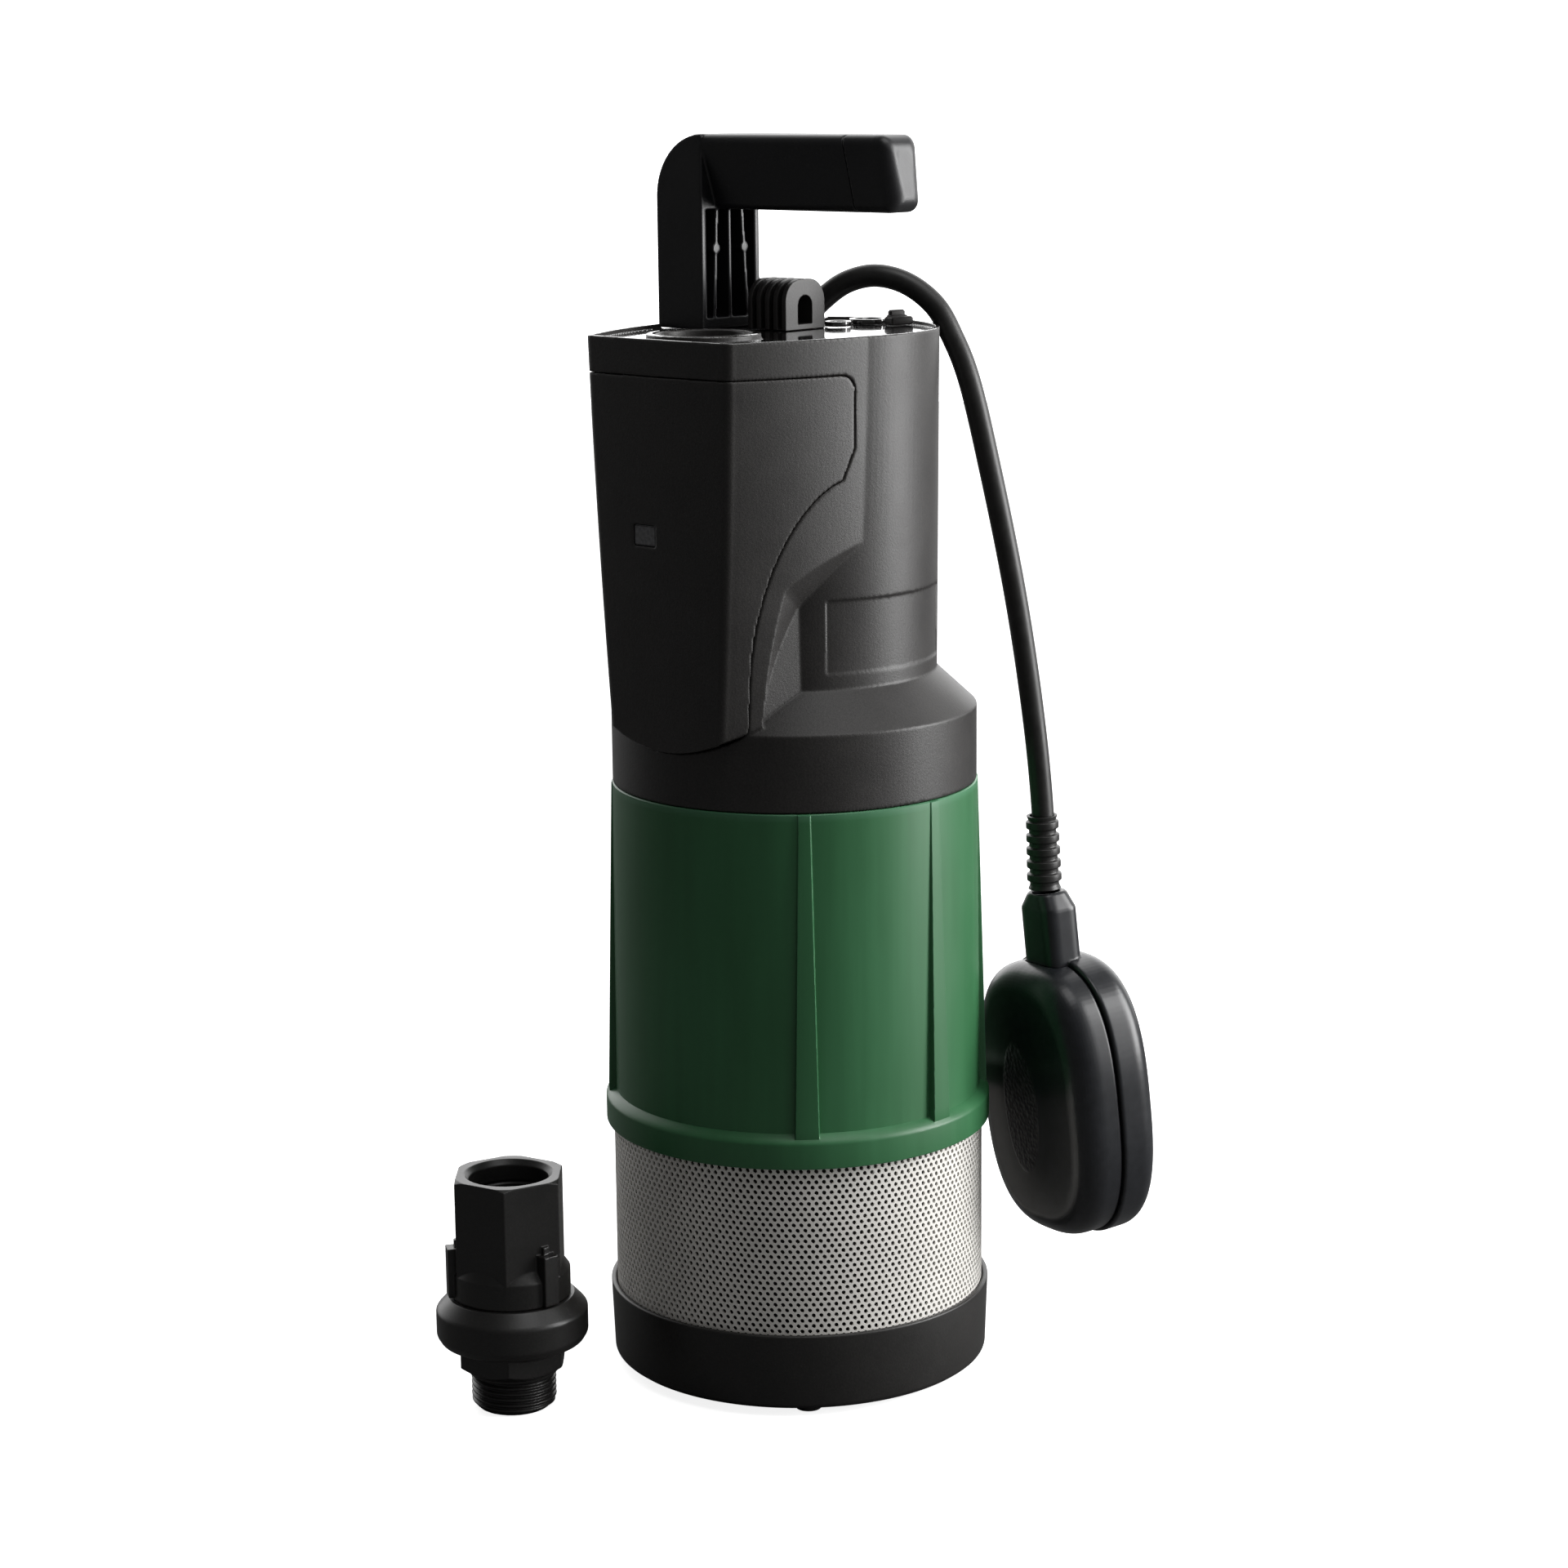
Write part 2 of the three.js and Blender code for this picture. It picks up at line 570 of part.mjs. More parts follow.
function gland([x, y]) {
  const nut = upright(hexagon(15), DECK + GAP, DECK + 3.2);
  const body = cut(nut, disc(CABLE_RADIUS + 1.7, 400, 430, SMALL));
  return solid(shifted(geometryOf(body), x, y));
}

part('float_cable_gland', gland(GLANDS.float), blackPlastic);
part('power_cable_gland', gland(GLANDS.power), blackPlastic);

PLUGS.forEach(([x, y, radius], i) => {
  part(`deck_plug_${i + 1}`, shifted(disc(radius, DECK + GAP, DECK + 2.2, MEDIUM), x, y), blackPlastic);
});

// ---------------------------------------------------------------- cables

// sideways distance from the axis, depth behind the axis, height
const inCablePlane = ([out, depth, z]) => [
  out * Math.cos(CABLE_SIDE) - depth * Math.sin(CABLE_SIDE),
  out * Math.sin(CABLE_SIDE) + depth * Math.cos(CABLE_SIDE), z];

const FLOAT_CABLE = [
  [6.8, 31.4, 398], [6.8, 31.4, 411], [8, 31, 416], [13.5, 28.5, 422.2], [22, 26, 428.3], [33, 23.3, 431],
  [45, 20.7, 428.2], [56.3, 18.4, 419.5], [63.5, 15.8, 406.5], [68.8, 13, 392.8], [77.8, 11, 354.7],
  [88, 10, 303], [95.5, 10, 251], [98.6, 10, 217], [99.3, 10, 198]];
const [POWER_X, POWER_Y] = GLANDS.power;
const POWER_CABLE = [
  [POWER_X, POWER_Y, 398], [POWER_X, POWER_Y, 411], [POWER_X - 0.5, POWER_Y, 417], [-46, 27, 427],
  [-56, 30, 431], [-66, 33, 424], [-71, 35.5, 405], [-72, 37, 330], [-72, 37, 240], [-74, 38, 150]];

part('float_cable', along(FLOAT_CABLE.map(inCablePlane), CABLE_RADIUS, 8, 44), cableRubber);
part('power_cable', along(POWER_CABLE, CABLE_RADIUS, 8, 28), cableRubber);

function cableClip() {
  const [x, y] = inCablePlane([42.5, 25.5, 0]);
  const base = block(-5, 5, -3, 3, DECK + GAP, DECK + 3.5);
  const post = block(-3.4, 3.4, 0.4, 3, DECK + 2, DECK + 6);
  return solid(geometryOf(joined(base, post)).rotateZ(CABLE_SIDE + radians(30)).translate(x, y, 0));
}

part('cable_clip', cableClip(), blackPlastic);

// ---------------------------------------------------------------- float switch

const BOOT_FOOT = 188.6;
const FLOAT_CENTRE_DROP = -57.5;   // below the neck's foot on the float's own axis

const floatGroup = new THREE.Group();
const [floatX, floatY] = inCablePlane([102.4, 10, 0]);
floatGroup.position.set(floatX, floatY, 161);
const hangAxis = new THREE.Vector3(Math.sin(CABLE_SIDE), -Math.cos(CABLE_SIDE), 0);
floatGroup.quaternion.setFromAxisAngle(hangAxis, FLOAT_TILT);
const floatBody = new THREE.Group();
floatBody.rotation.z = FLOAT_TURN;
floatBody.position.z = FLOAT_CENTRE_DROP;
floatGroup.add(floatBody);
pump.add(floatGroup);

function pillowRing(y, share, squareness = 2.7, count = 28) {
  return Array.from({ length: count }, (_, i) => {
    const a = (2 * Math.PI * i) / count;
    const bend = (v) => Math.sign(v) * Math.abs(v) ** (2 / squareness);
    const shrink = (1 - share) * FLOAT_HALF_WIDTH;
    const halfWidth = FLOAT_HALF_WIDTH - shrink;
    const halfHeight = FLOAT_HALF_HEIGHT - shrink;
    return [bend(Math.cos(a)) * halfWidth, y, bend(Math.sin(a)) * halfHeight];
  });
}

function floatShell(side) {
  const depths = [[GAP / 2, 1], [7, 1], [12, 0.965], [16, 0.9], [18.8, 0.8], [FLOAT_HALF_THICK, 0.66]];
  const hollow = [[-1, 0.93], [7, 0.93], [13, 0.86], [17, 0.72]];
  const skin = (levels) => lofted(levels.map(([depth, share]) => pillowRing(side * depth, share)));
  return cut(skin(depths), skin(hollow));
}

const NECK_HALF = 10.8;
const NECK_LOW = FLOAT_HALF_HEIGHT - 5;
const NECK_HIGH = FLOAT_HALF_HEIGHT + 27;

function neck(grow) {
  const half = NECK_HALF + grow;
  const tip = half * 0.78;
  const outline = [[-half, NECK_LOW], [half, NECK_LOW], [half, NECK_HIGH - 6], [tip, NECK_HIGH],
    [-tip, NECK_HIGH], [-half, NECK_HIGH - 6]];
  return frontways(outline, -7.5 - grow, 8.5 + grow);
}

function floatRear() {
  const bore = disc(CABLE_RADIUS + 1.2, 40, 110, SMALL);
  return cut(joined(floatShell(1), neck(0)), bore);
}

part('float_front_shell', cut(floatShell(-1), neck(GAP)), floatPlastic, floatBody);
part('float_rear_shell', floatRear(), floatPlastic, floatBody);
part('float_microswitch', block(-10, 10, -6, 6, 12, 30), ceramic, floatBody);
part('float_switch_ball', new THREE.SphereGeometry(6.5, 12, 8).translate(0, 0, -20), steel, floatBody);

function strainRelief() {
  const profile = [[CABLE_RADIUS + 0.8, 0], [6.4, 0]];
  for (let i = 0; i < 5; i += 1) {
    const z = 2 + i * 5.4;
    const r = 6.8 - i * 0.1;
    profile.push([r - 0.7, z], [r, z + 1.2], [r, z + 3], [r - 0.7, z + 4.2]);
  }
  profile.push([5.6, 29.8], [CABLE_RADIUS + 0.8, 29.8], [CABLE_RADIUS + 0.8, 0]);
  return revolved(profile, 12);
}

const bootGroup = new THREE.Group();
bootGroup.position.set(...inCablePlane([99.4, 10, BOOT_FOOT + GAP]));
bootGroup.quaternion.setFromAxisAngle(hangAxis, radians(2.5));
pump.add(bootGroup);
part('strain_relief_boot', strainRelief(), cableRubber, bootGroup);

// ---------------------------------------------------------------- motor

const MOTOR_TOP = 232;

function lowerEndBell() {
  const spigot = MOTOR_RADIUS - 2.3;
  const bell = revolved([[11.6, 104.8], [66, 104.8], [66, 109], [spigot, 109], [spigot, 116], [15.3, 116],
    [15.3, 112], [8, 112], [8, 106.3], [11.6, 106.3], [11.6, 104.8]], ROUND);
  const webs = ringOf(() => block(-2, 2.8, -3, 3, 105, 108.5), [0, 60, 120, 180, 240, 300], 66);
  return joined(bell, ...webs);
}

part('lower_end_bell', lowerEndBell(), blackPlastic);
part('motor_can', ring(MOTOR_RADIUS, MOTOR_RADIUS - 1.8, 109.4, MOTOR_TOP), steel);

function upperEndBell() {
  const spigot = MOTOR_RADIUS - 2.2;
  const seat = MOTOR_TOP + GAP;
  return revolved([[0, 229], [10, 229], [10, 219.5], [13, 219.5], [13, 229.5], [spigot, 229.5],
    [spigot, seat], [MOTOR_RADIUS, seat], [MOTOR_RADIUS, 235.6], [0, 235.6]]);
}

part('upper_end_bell', upperEndBell(), steel);

function stator() {
  const bearings = Array.from({ length: 12 }, (_, i) => i * 30);
  const slots = ringOf(() => block(0, 12, -2.6, 2.6, 130, 210), bearings, 33);
  return cut(ring(MOTOR_RADIUS - 2.2, 30.6, 136, 204), ...slots);
}

part('stator_core', stator(), steel);
part('lower_winding', ring(52, 33, 124, 135.7, MEDIUM), copper);
part('upper_winding', ring(52, 33, 204.3, 217, MEDIUM), copper);
part('rotor_core', ring(29.9, SHAFT_RADIUS + 0.3, 137, 203, 32), steel);
part('lower_bearing', ring(15, SHAFT_RADIUS + 0.3, 112.4, 121.5, MEDIUM), steel);
part('upper_bearing', ring(9.6, SHAFT_RADIUS + 0.3, 219, 228.6, MEDIUM), steel);
part('shaft', disc(SHAFT_RADIUS, 21, 225.4, 20), steel);
part('seal_seat', ring(7.7, SHAFT_RADIUS + 0.5, 106.4, 111.8, MEDIUM), ceramic);
part('seal_rotary', ring(11, SHAFT_RADIUS + 0.3, 99, 106, MEDIUM), sealRubber);

// ---------------------------------------------------------------- pump stages

const STAGE_COUNT = 4;
const STAGE_PITCH = 18.5;
const FIRST_STAGE = 24.5;

function stageCasing() {
  const shell = revolved([[19, CASING_FOOT], [62, CASING_FOOT], [62, 104.4], [60, 104.4], [60, 20],
    [19, 20], [19, CASING_FOOT]], ROUND);
  const screwHoles = ringOf(() => disc(2, 15, 22, SMALL), QUARTERS, PILLAR_RING);
  return cut(shell, ...screwHoles);
}

function impeller(z) {
  const shroud = revolved([[SHAFT_RADIUS + 0.3, z], [50, z], [50, z + 1.8], [9, z + 1.8], [9, z + 9],
    [SHAFT_RADIUS + 0.3, z + 9], [SHAFT_RADIUS + 0.3, z]], MEDIUM);
  const vanes = [0, 1, 2, 3, 4].map((i) => {
    const vane = [...arc(0, 28, 26, -80, -10, 3), ...arc(0, 28, 24.4, -10, -80, 3)];
    return upright(vane, z + 1, z + 8).translate(12, -18, 0).rotateZ(radians(72 * i));
  });
  return joined(shroud, ...vanes.map((vane) => common(vane, ring(49, 8.5, z, z + 9, MEDIUM))));
}

function diffuser(z) {
  const plate = revolved([[13, z], [59.7, z], [59.7, z + 14], [57.6, z + 14], [57.6, z + 2], [13, z + 2],
    [13, z]], 24);
  const vanes = ringOf(() => block(0, 4.5, -0.9, 0.9, z + 1, z + 12), QUARTERS.map((b) => b + 15), 53.4);
  return joined(plate, ...vanes);
}

part('stage_casing', stageCasing(), steel);
for (let i = 0; i < STAGE_COUNT; i += 1) {
  const z = FIRST_STAGE + i * STAGE_PITCH;
  part(`impeller_${i + 1}`, impeller(z + 2.4), impellerPlastic);
  part(`diffuser_${i + 1}`, diffuser(z - 2.4), impellerPlastic);
}
part('impeller_nut', cut(upright(hexagon(13), 23, 26.5), disc(SHAFT_RADIUS + 0.3, 20, 30, 20)), steel);

// ---------------------------------------------------------------- seals, controls

const ringSeal = (radius, thick, z) => revolved(arc(radius, z, thick, 0, 360, 6), ROUND);

part('jacket_o_ring', ringSeal(66.4, 1.3, 251.6), sealRubber);
part('control_board', block(-26, 26, -68.8, -67.2, 320, 384), boardGreen);
part('status_light', block(-9.4, -5.4, -70.2, -69, 338.5, 341.5), ceramic);
part('start_capacitor', shifted(disc(17, DRY_FLOOR + GAP, 352, MEDIUM), 22, 14), blackPlastic);
part('terminal_block', block(-34, -6, -14, 2, DRY_FLOOR + GAP, 302), ceramic);
part('flow_sensor', frontways(arc(0, 330, 8, 0, 336, 14), -30.1, -16), blackPlastic);

// ---------------------------------------------------------------- loose outlet adapter

const adapter = new THREE.Group();
adapter.position.set(ADAPTER_X, ADAPTER_Y, 0);
pump.add(adapter);

const ADAPTER_FLANGE_FOOT = 26;
const ADAPTER_SPLIT = 46;
const ADAPTER_STEP_TOP = 58;
const STEP_RADIUS = 23;
const ADAPTER_TOP = 94;
const THREAD_RADIUS = 16.6;
const WING_BEARINGS = [-4, 116, 236];

function adapterBase() {
  const thread = [[0, 0], [14.6, 0], [THREAD_RADIUS, 1.6]];
  for (let i = 0; i < 4; i += 1) {
    thread.push([THREAD_RADIUS, 2.4 + i * 3], [THREAD_RADIUS - 1.2, 3.6 + i * 3]);
  }
  thread.push([THREAD_RADIUS - 1.2, 16], [0, 16]);
  const flange = revolved([[0, 24.5], [17, 24.5], [22.5, ADAPTER_FLANGE_FOOT], [27.6, 27.5], [29.5, 30],
    [29.5, 40], [28.2, 43], [24.6, ADAPTER_SPLIT - 0.6], [0, ADAPTER_SPLIT - 0.6]], 28);
  const hex = upright(hexagon(39, 12), 15, 25);
  const bore = revolved([[0, -1], [12.2, -1], [12.2, 28], [9.6, 28], [9.6, 31], [14.4, 31], [14.4, 50],
    [0, 50]], MEDIUM);
  return cut(joined(revolved(thread, MEDIUM), flange, hex), bore);
}

function adapterSocket() {
  const foot = ADAPTER_SPLIT - GAP;
  const shoulder = ADAPTER_STEP_TOP + 1.5;
  const step = revolved([[0, foot], [STEP_RADIUS, foot], [STEP_RADIUS, shoulder - 3.9],
    [STEP_RADIUS - 2.8, shoulder], [0, shoulder]], 36);
  const hex = upright(hexagon(40, 12), ADAPTER_STEP_TOP - 1, ADAPTER_TOP);
  const wing = () => joined(
    block(20, 25, -3.4, 3.4, ADAPTER_SPLIT + GAP, 66), block(17, 22, -1.4, 1.4, ADAPTER_SPLIT + 1, 69));
  const wings = WING_BEARINGS.map((bearing) => solid(geometryOf(wing()).rotateZ(radians(bearing))));
  const bore = revolved([[0, 40], [11.5, 40], [11.5, 56], [15.3, 58], [15.3, ADAPTER_TOP - 2],
    [17.2, ADAPTER_TOP], [17.2, ADAPTER_TOP + 2], [0, ADAPTER_TOP + 2]], MEDIUM);
  const arms = [block(3.4, 12.2, -1, 1, 50, 54), block(-12.2, -3.4, -1, 1, 50, 54)];
  const guide = joined(ring(4.2, 2.2, 50, 54, SMALL), ...arms);
  return joined(cut(joined(step, hex, ...wings), bore), guide);
}

function valvePoppet() {
  return revolved([[0, 31.3], [11.6, 31.3], [12.4, 32.6], [11.6, 34], [4, 34.6], [1.8, 36], [1.8, 52],
    [0, 52]], 24);
}

function valveSpring() {
  const turns = 3.5;
  const points = Array.from({ length: 22 }, (_, i) => {
    const a = (turns * 2 * Math.PI * i) / 21;
    return [6.3 * Math.cos(a), 6.3 * Math.sin(a), mix(36, 42.6, i / 21)];
  });
  return along(points, 0.6, 4, 44);
}

part('adapter_base', adapterBase(), blackPlastic, adapter);
part('adapter_socket', adapterSocket(), blackPlastic, adapter);
part('valve_poppet', valvePoppet(), impellerPlastic, adapter);
part('valve_spring', valveSpring(), steel, adapter);

export default pump;
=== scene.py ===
"""Visual model of a submersible sump pump with its float switch and loose outlet adapter.

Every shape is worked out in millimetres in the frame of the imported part: +Z up, pump axis at the
origin, flat front of the head facing -Y. Points are turned into metres as a mesh is made.
"""

import json
import math

import bmesh
import bpy
from mathutils import Matrix, Vector


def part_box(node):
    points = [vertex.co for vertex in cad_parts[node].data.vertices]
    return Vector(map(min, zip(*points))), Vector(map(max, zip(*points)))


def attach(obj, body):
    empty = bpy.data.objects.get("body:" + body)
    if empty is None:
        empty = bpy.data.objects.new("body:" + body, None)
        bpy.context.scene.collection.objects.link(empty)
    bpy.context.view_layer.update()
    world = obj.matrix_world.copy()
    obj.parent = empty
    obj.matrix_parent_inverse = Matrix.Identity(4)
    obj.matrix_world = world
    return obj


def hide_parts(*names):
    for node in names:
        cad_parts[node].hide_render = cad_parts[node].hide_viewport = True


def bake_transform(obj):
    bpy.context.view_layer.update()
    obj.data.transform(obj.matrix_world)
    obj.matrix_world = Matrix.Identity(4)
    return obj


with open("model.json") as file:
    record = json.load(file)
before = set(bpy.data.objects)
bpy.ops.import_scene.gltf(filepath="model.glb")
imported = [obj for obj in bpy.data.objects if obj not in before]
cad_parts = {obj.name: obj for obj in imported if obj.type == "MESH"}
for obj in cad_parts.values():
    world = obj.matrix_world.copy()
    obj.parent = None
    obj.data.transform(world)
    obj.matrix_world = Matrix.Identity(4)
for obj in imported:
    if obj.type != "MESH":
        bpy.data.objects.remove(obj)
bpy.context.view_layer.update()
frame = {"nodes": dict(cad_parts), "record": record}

MM = 0.001


def span(node):
    """Lowest and highest corner of a CAD node in millimetres."""
    low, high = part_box(node)
    return low / MM, high / MM


# ---- driving dimensions

GAP = 0.3
WALL = 2.6

# heights
BASE_RIM = span("base_cup")[1].z
JACKET_FOOT = span("outer_jacket")[0].z
COLLAR_FOOT = span("head_housing")[0].z
COLLAR_TOP = COLLAR_FOOT + 29.3
TOWER_FOOT = COLLAR_TOP + 14.4
TOWER_TOP = span("head_housing")[1].z - 0.8
DECK = TOWER_TOP - 1.8
GRIP_TOP = span("handle")[1].z
GRIP_UNDERSIDE = GRIP_TOP - 28.5

# radii
BASE_RADIUS = span("base_cup")[1].x
STRAINER_RADIUS = span("strainer_sleeve")[1].x
JACKET_LIP_RADIUS = span("outer_jacket")[1].x
JACKET_RADIUS = JACKET_LIP_RADIUS - 4.9
COLLAR_RADIUS = JACKET_RADIUS - 0.2
TOWER_RADIUS = 57.2
TOWER_FOOT_RADIUS = 56.0
CABLE_RADIUS = 4.45

# flat front of the head
FRONT_REACH = 73.8
CHIN_REACH = 72.3
FRONT_HALF = 37.9
CHIN_HALF = 29.8
CHIN_FOOT = span("front_cover")[0].z
CHIN_ARC = 64.0
CHIN_SEAT = COLLAR_RADIUS - 2.2
FRONT_CORNER = 4.0
FRONT_BULGE = 1.0
FLANK_BULGE = 2.5
HEAD_VOXEL = 0.62

OUTLET_Y = -48.0
OUTLET_BORE = 15.2

# plane that the float's cable hangs in: bearing from +X
CABLE_BEARING = math.radians(42.5)
FLOAT_TURN = math.radians(-16.5)
FLOAT_TILT = math.radians(5.5)


# ---- small geometry helpers


def mix(a, b, t):
    return a + (b - a) * t


def clamp(x, low=0.0, high=1.0):
    return max(low, min(high, x))


def scaled(x, a, b, c, d):
    """x moved from the range a..b to the range c..d."""
    return c + (d - c) * (x - a) / (b - a)


def stations(low, high, count):
    return [mix(low, high, i / count) for i in range(count + 1)]


def arc(cx, cy, radius, start, stop, steps):
    """Points on a circular arc, angles in degrees."""
    angles = [math.radians(a) for a in stations(start, stop, steps)]
    return [(cx + radius * math.cos(a), cy + radius * math.sin(a)) for a in angles]


def filleted(outline, radius, steps=4, closed=True):
    """The outline with each corner replaced by a small curve."""
    count = len(outline)
    result = []
    for i, point in enumerate(outline):
        if not closed and i in (0, count - 1):
            result.append(point)
            continue
        here = Vector(point)
        before = Vector(outline[i - 1]) - here
        after = Vector(outline[(i + 1) % count]) - here
        reach = min(radius, 0.45 * before.length, 0.45 * after.length)
        straight = before.length < 1e-6 or after.length < 1e-6
        if straight or before.angle(after) > math.radians(172):
            result.append(point)
            continue
        start = here + before.normalized() * reach
        stop = here + after.normalized() * reach
        for t in stations(0, 1, steps):
            curve = start * (1 - t) ** 2 + here * 2 * t * (1 - t) + stop * t * t
            result.append(tuple(curve))
    return result


def circle(radius, sides, turn=0.0):
    return arc(0, 0, radius, turn, turn + 360 - 360 / sides, sides - 1)


def hexagon(across_flats, turn=0.0):
    return circle(across_flats / math.sqrt(3), 6, turn)


def linked(name, data):
    """A new object for the data, put into the scene."""
    obj = bpy.data.objects.new(name, data)
    bpy.context.scene.collection.objects.link(obj)
    return obj


def mesh_object(name, points, faces, sharp=32):
    """A mesh from points in millimetres, with outward faces and smooth shading up to the sharp angle."""
    mesh = bpy.data.meshes.new(name)
    mesh.from_pydata([(x * MM, y * MM, z * MM) for x, y, z in points], [], faces)
    shape = bmesh.new()
    shape.from_mesh(mesh)
    bmesh.ops.recalc_face_normals(shape, faces=shape.faces)
    shape.to_mesh(mesh)
    shape.free()
    obj = linked(name, mesh)
    shade(obj, sharp)
    return obj


def shade(obj, sharp=32):
    obj.data.shade_smooth()
    obj.data.set_sharp_from_angle(angle=math.radians(sharp))


def band(lower, upper):
    """Quads between two closed rings of vertex numbers."""
    return list(zip(lower, lower[1:] + lower[:1], upper[1:] + upper[:1], upper))


def lathe(name, profile, segments=160):
    """A closed (radius, z) profile turned about the Z axis."""
    rings = []
    points = []
    for radius, z in profile:
        first = len(points)
        if radius < 1e-6:
            points.append((0, 0, z))
            rings.append([first] * segments)
            continue
        points += [(*p, z) for p in circle(radius, segments)]
        rings.append(list(range(first, len(points))))
    faces = []
    for lower, upper in zip(rings, rings[1:] + rings[:1]):
        if len({*lower, *upper}) > 2:
            faces += [tuple(dict.fromkeys(quad)) for quad in band(lower, upper)]
    return mesh_object(name, points, faces)


def soft_lathe(name, outline, radius, steps, segments):
    """A lathe of an outline that starts and ends on the axis, with its other corners rounded."""
    corners = filleted(outline[1:-1], radius, steps, closed=False)
    return lathe(name, [outline[0], *corners, outline[-1]], segments)


def tube_of(name, outer, inner, low, high, edge, segments=128):
    profile = filleted([(inner, low), (outer, low), (outer, high), (inner, high)], edge, 3)
    return lathe(name, profile, segments)


def drum(name, radius, low, high, segments=96):
    return lathe(name, [(0, low), (radius, low), (radius, high), (0, high)], segments)


def loft(name, rings, sharp=32, endless=False):
    """A skin through rings with the same number of points, with flat ends or joined end to end."""
    count = len(rings[0])
    points = [p for ring in rings for p in ring]
    levels = [list(range(first, first + count)) for first in range(0, len(points), count)]
    above = levels[1:] + levels[:1] if endless else levels[1:]
    faces = [quad for lower, upper in zip(levels, above) for quad in band(lower, upper)]
    if not endless:
        faces += [levels[0][::-1], levels[-1]]
    return mesh_object(name, points, faces, sharp)


PLACE = {
    "z": lambda a, b, c: (a, b, c),
    "x": lambda a, b, c: (c, a, b),
    "y": lambda a, b, c: (a, c, b),
}


def prism(name, outline, low, high, axis="z", edge=0.0):
    """A flat outline carried along an axis; its edges are rounded by a bevel of the given width."""
    place = PLACE[axis]
    rings = [[place(a, b, c) for a, b in outline] for c in (low, high)]
    obj = loft(name, rings)
    if edge:
        rounded(obj, edge)
    return obj


def box(name, x0, x1, y0, y1, z0, z1, edge=0.0):
    return prism(name, [(x0, y0), (x1, y0), (x1, y1), (x0, y1)], z0, z1, edge=edge)


def rounded(obj, width):
    """Bevels the edges that are sharper than 32 degrees."""
    shape = bmesh.new()
    shape.from_mesh(obj.data)
    limit = math.radians(32)
    corners = [e for e in shape.edges if len(e.link_faces) == 2 and e.calc_face_angle() > limit]
    bmesh.ops.bevel(shape, geom=corners, offset=width * MM, segments=3, affect="EDGES", clamp_overlap=True)
    shape.to_mesh(obj.data)
    shape.free()
    shade(obj)
    return obj


def shift(x, y, z):
    return Matrix.Translation((x * MM, y * MM, z * MM))


def placed(obj, x=0.0, y=0.0, turn=0.0):
    """Turns a mesh about Z by degrees and moves it, in its own vertices."""
    obj.data.transform(shift(x, y, 0) @ Matrix.Rotation(math.radians(turn), 4, "Z"))
    return obj


def bake(obj):
    """Applies an object's modifiers to its mesh."""
    graph = bpy.context.evaluated_depsgraph_get()
    mesh = bpy.data.meshes.new_from_object(obj.evaluated_get(graph))
    obj.modifiers.clear()
    old = obj.data
    obj.data = mesh
    bpy.data.meshes.remove(old)
    return obj


def boolean(obj, operation, tools):
    """Applies one boolean with each tool, and removes the tools."""
    for tool in tools:
        step = obj.modifiers.new("boolean", "BOOLEAN")
        step.operation = operation
        step.solver = "MANIFOLD"
        step.object = tool
    bake(obj)
    for tool in tools:
        bpy.data.objects.remove(tool)
    return obj


def cut(obj, *tools):
    return boolean(obj, "DIFFERENCE", tools)


def joined(obj, *others):
    return boolean(obj, "UNION", others)


def common(obj, *others):
    return boolean(obj, "INTERSECT", others)


def copied(obj, name):
    return linked(name, obj.data.copy())


def moulded(obj, voxel, passes):
    """Gives a sharp-edged solid the soft edges of a moulding: an even skin drawn on to the solid, then
    smoothed, which rounds the edges and leaves flat stretches flat."""
    sharp = copied(obj, "sharp_form")
    skin = obj.modifiers.new("skin", "REMESH")
    skin.mode = "VOXEL"
    skin.voxel_size = voxel * MM
    hug = obj.modifiers.new("hug", "SHRINKWRAP")
    hug.target = sharp
    hug.wrap_method = "NEAREST_SURFACEPOINT"
    relax = obj.modifiers.new("relax", "SMOOTH")
    relax.factor = 0.5
    relax.iterations = passes
    bake(obj)
    bpy.data.objects.remove(sharp)
    obj.data.shade_smooth()
    return obj


def spline(points, per_span):
    """Centripetal Catmull-Rom curve through the points, as a list of Vectors."""
    knots = [Vector(p) for p in points]
    ends = [knots[0] * 2 - knots[1], *knots, knots[-1] * 2 - knots[-2]]
    result = []
    for p0, p1, p2, p3 in zip(ends, ends[1:], ends[2:], ends[3:]):
        t1 = math.sqrt((p1 - p0).length)
        t2 = t1 + math.sqrt((p2 - p1).length)
        t3 = t2 + math.sqrt((p3 - p2).length)
        for i in range(per_span):
            t = mix(t1, t2, i / per_span)
            a1 = p0.lerp(p1, t / t1)
            a2 = p1.lerp(p2, (t - t1) / (t2 - t1))
            a3 = p2.lerp(p3, (t - t2) / (t3 - t2))
            b1 = a1.lerp(a2, t / t2)
            b2 = a2.lerp(a3, (t - t1) / (t3 - t1))
            result.append(b1.lerp(b2, (t - t1) / (t2 - t1)))
    result.append(knots[-1])
    return result


def sweep(name, path, radius):
    """A round bar along a path, with flat ends."""
    tangents = [(b - a).normalized() for a, b in zip(path, path[1:])]
    tangents.append(tangents[-1])
    side = tangents[0].orthogonal().normalized()
    rings = []
    for point, tangent in zip(path, tangents):
        side = (side - tangent * side.dot(tangent)).normalized()
        other = tangent.cross(side)
        rings.append([tuple(point + side * x + other * y) for x, y in circle(radius, 28)])
    return loft(name, rings, 50)


def in_cable_plane(out, depth, z):
    """Point from its sideways distance, its depth behind the axis and its height."""
    c = math.cos(CABLE_BEARING)
    s = math.sin(CABLE_BEARING)
    return (out * c - depth * s, out * s + depth * c, z)


# ---- material helpers


OWN_PLACE = "own_place"


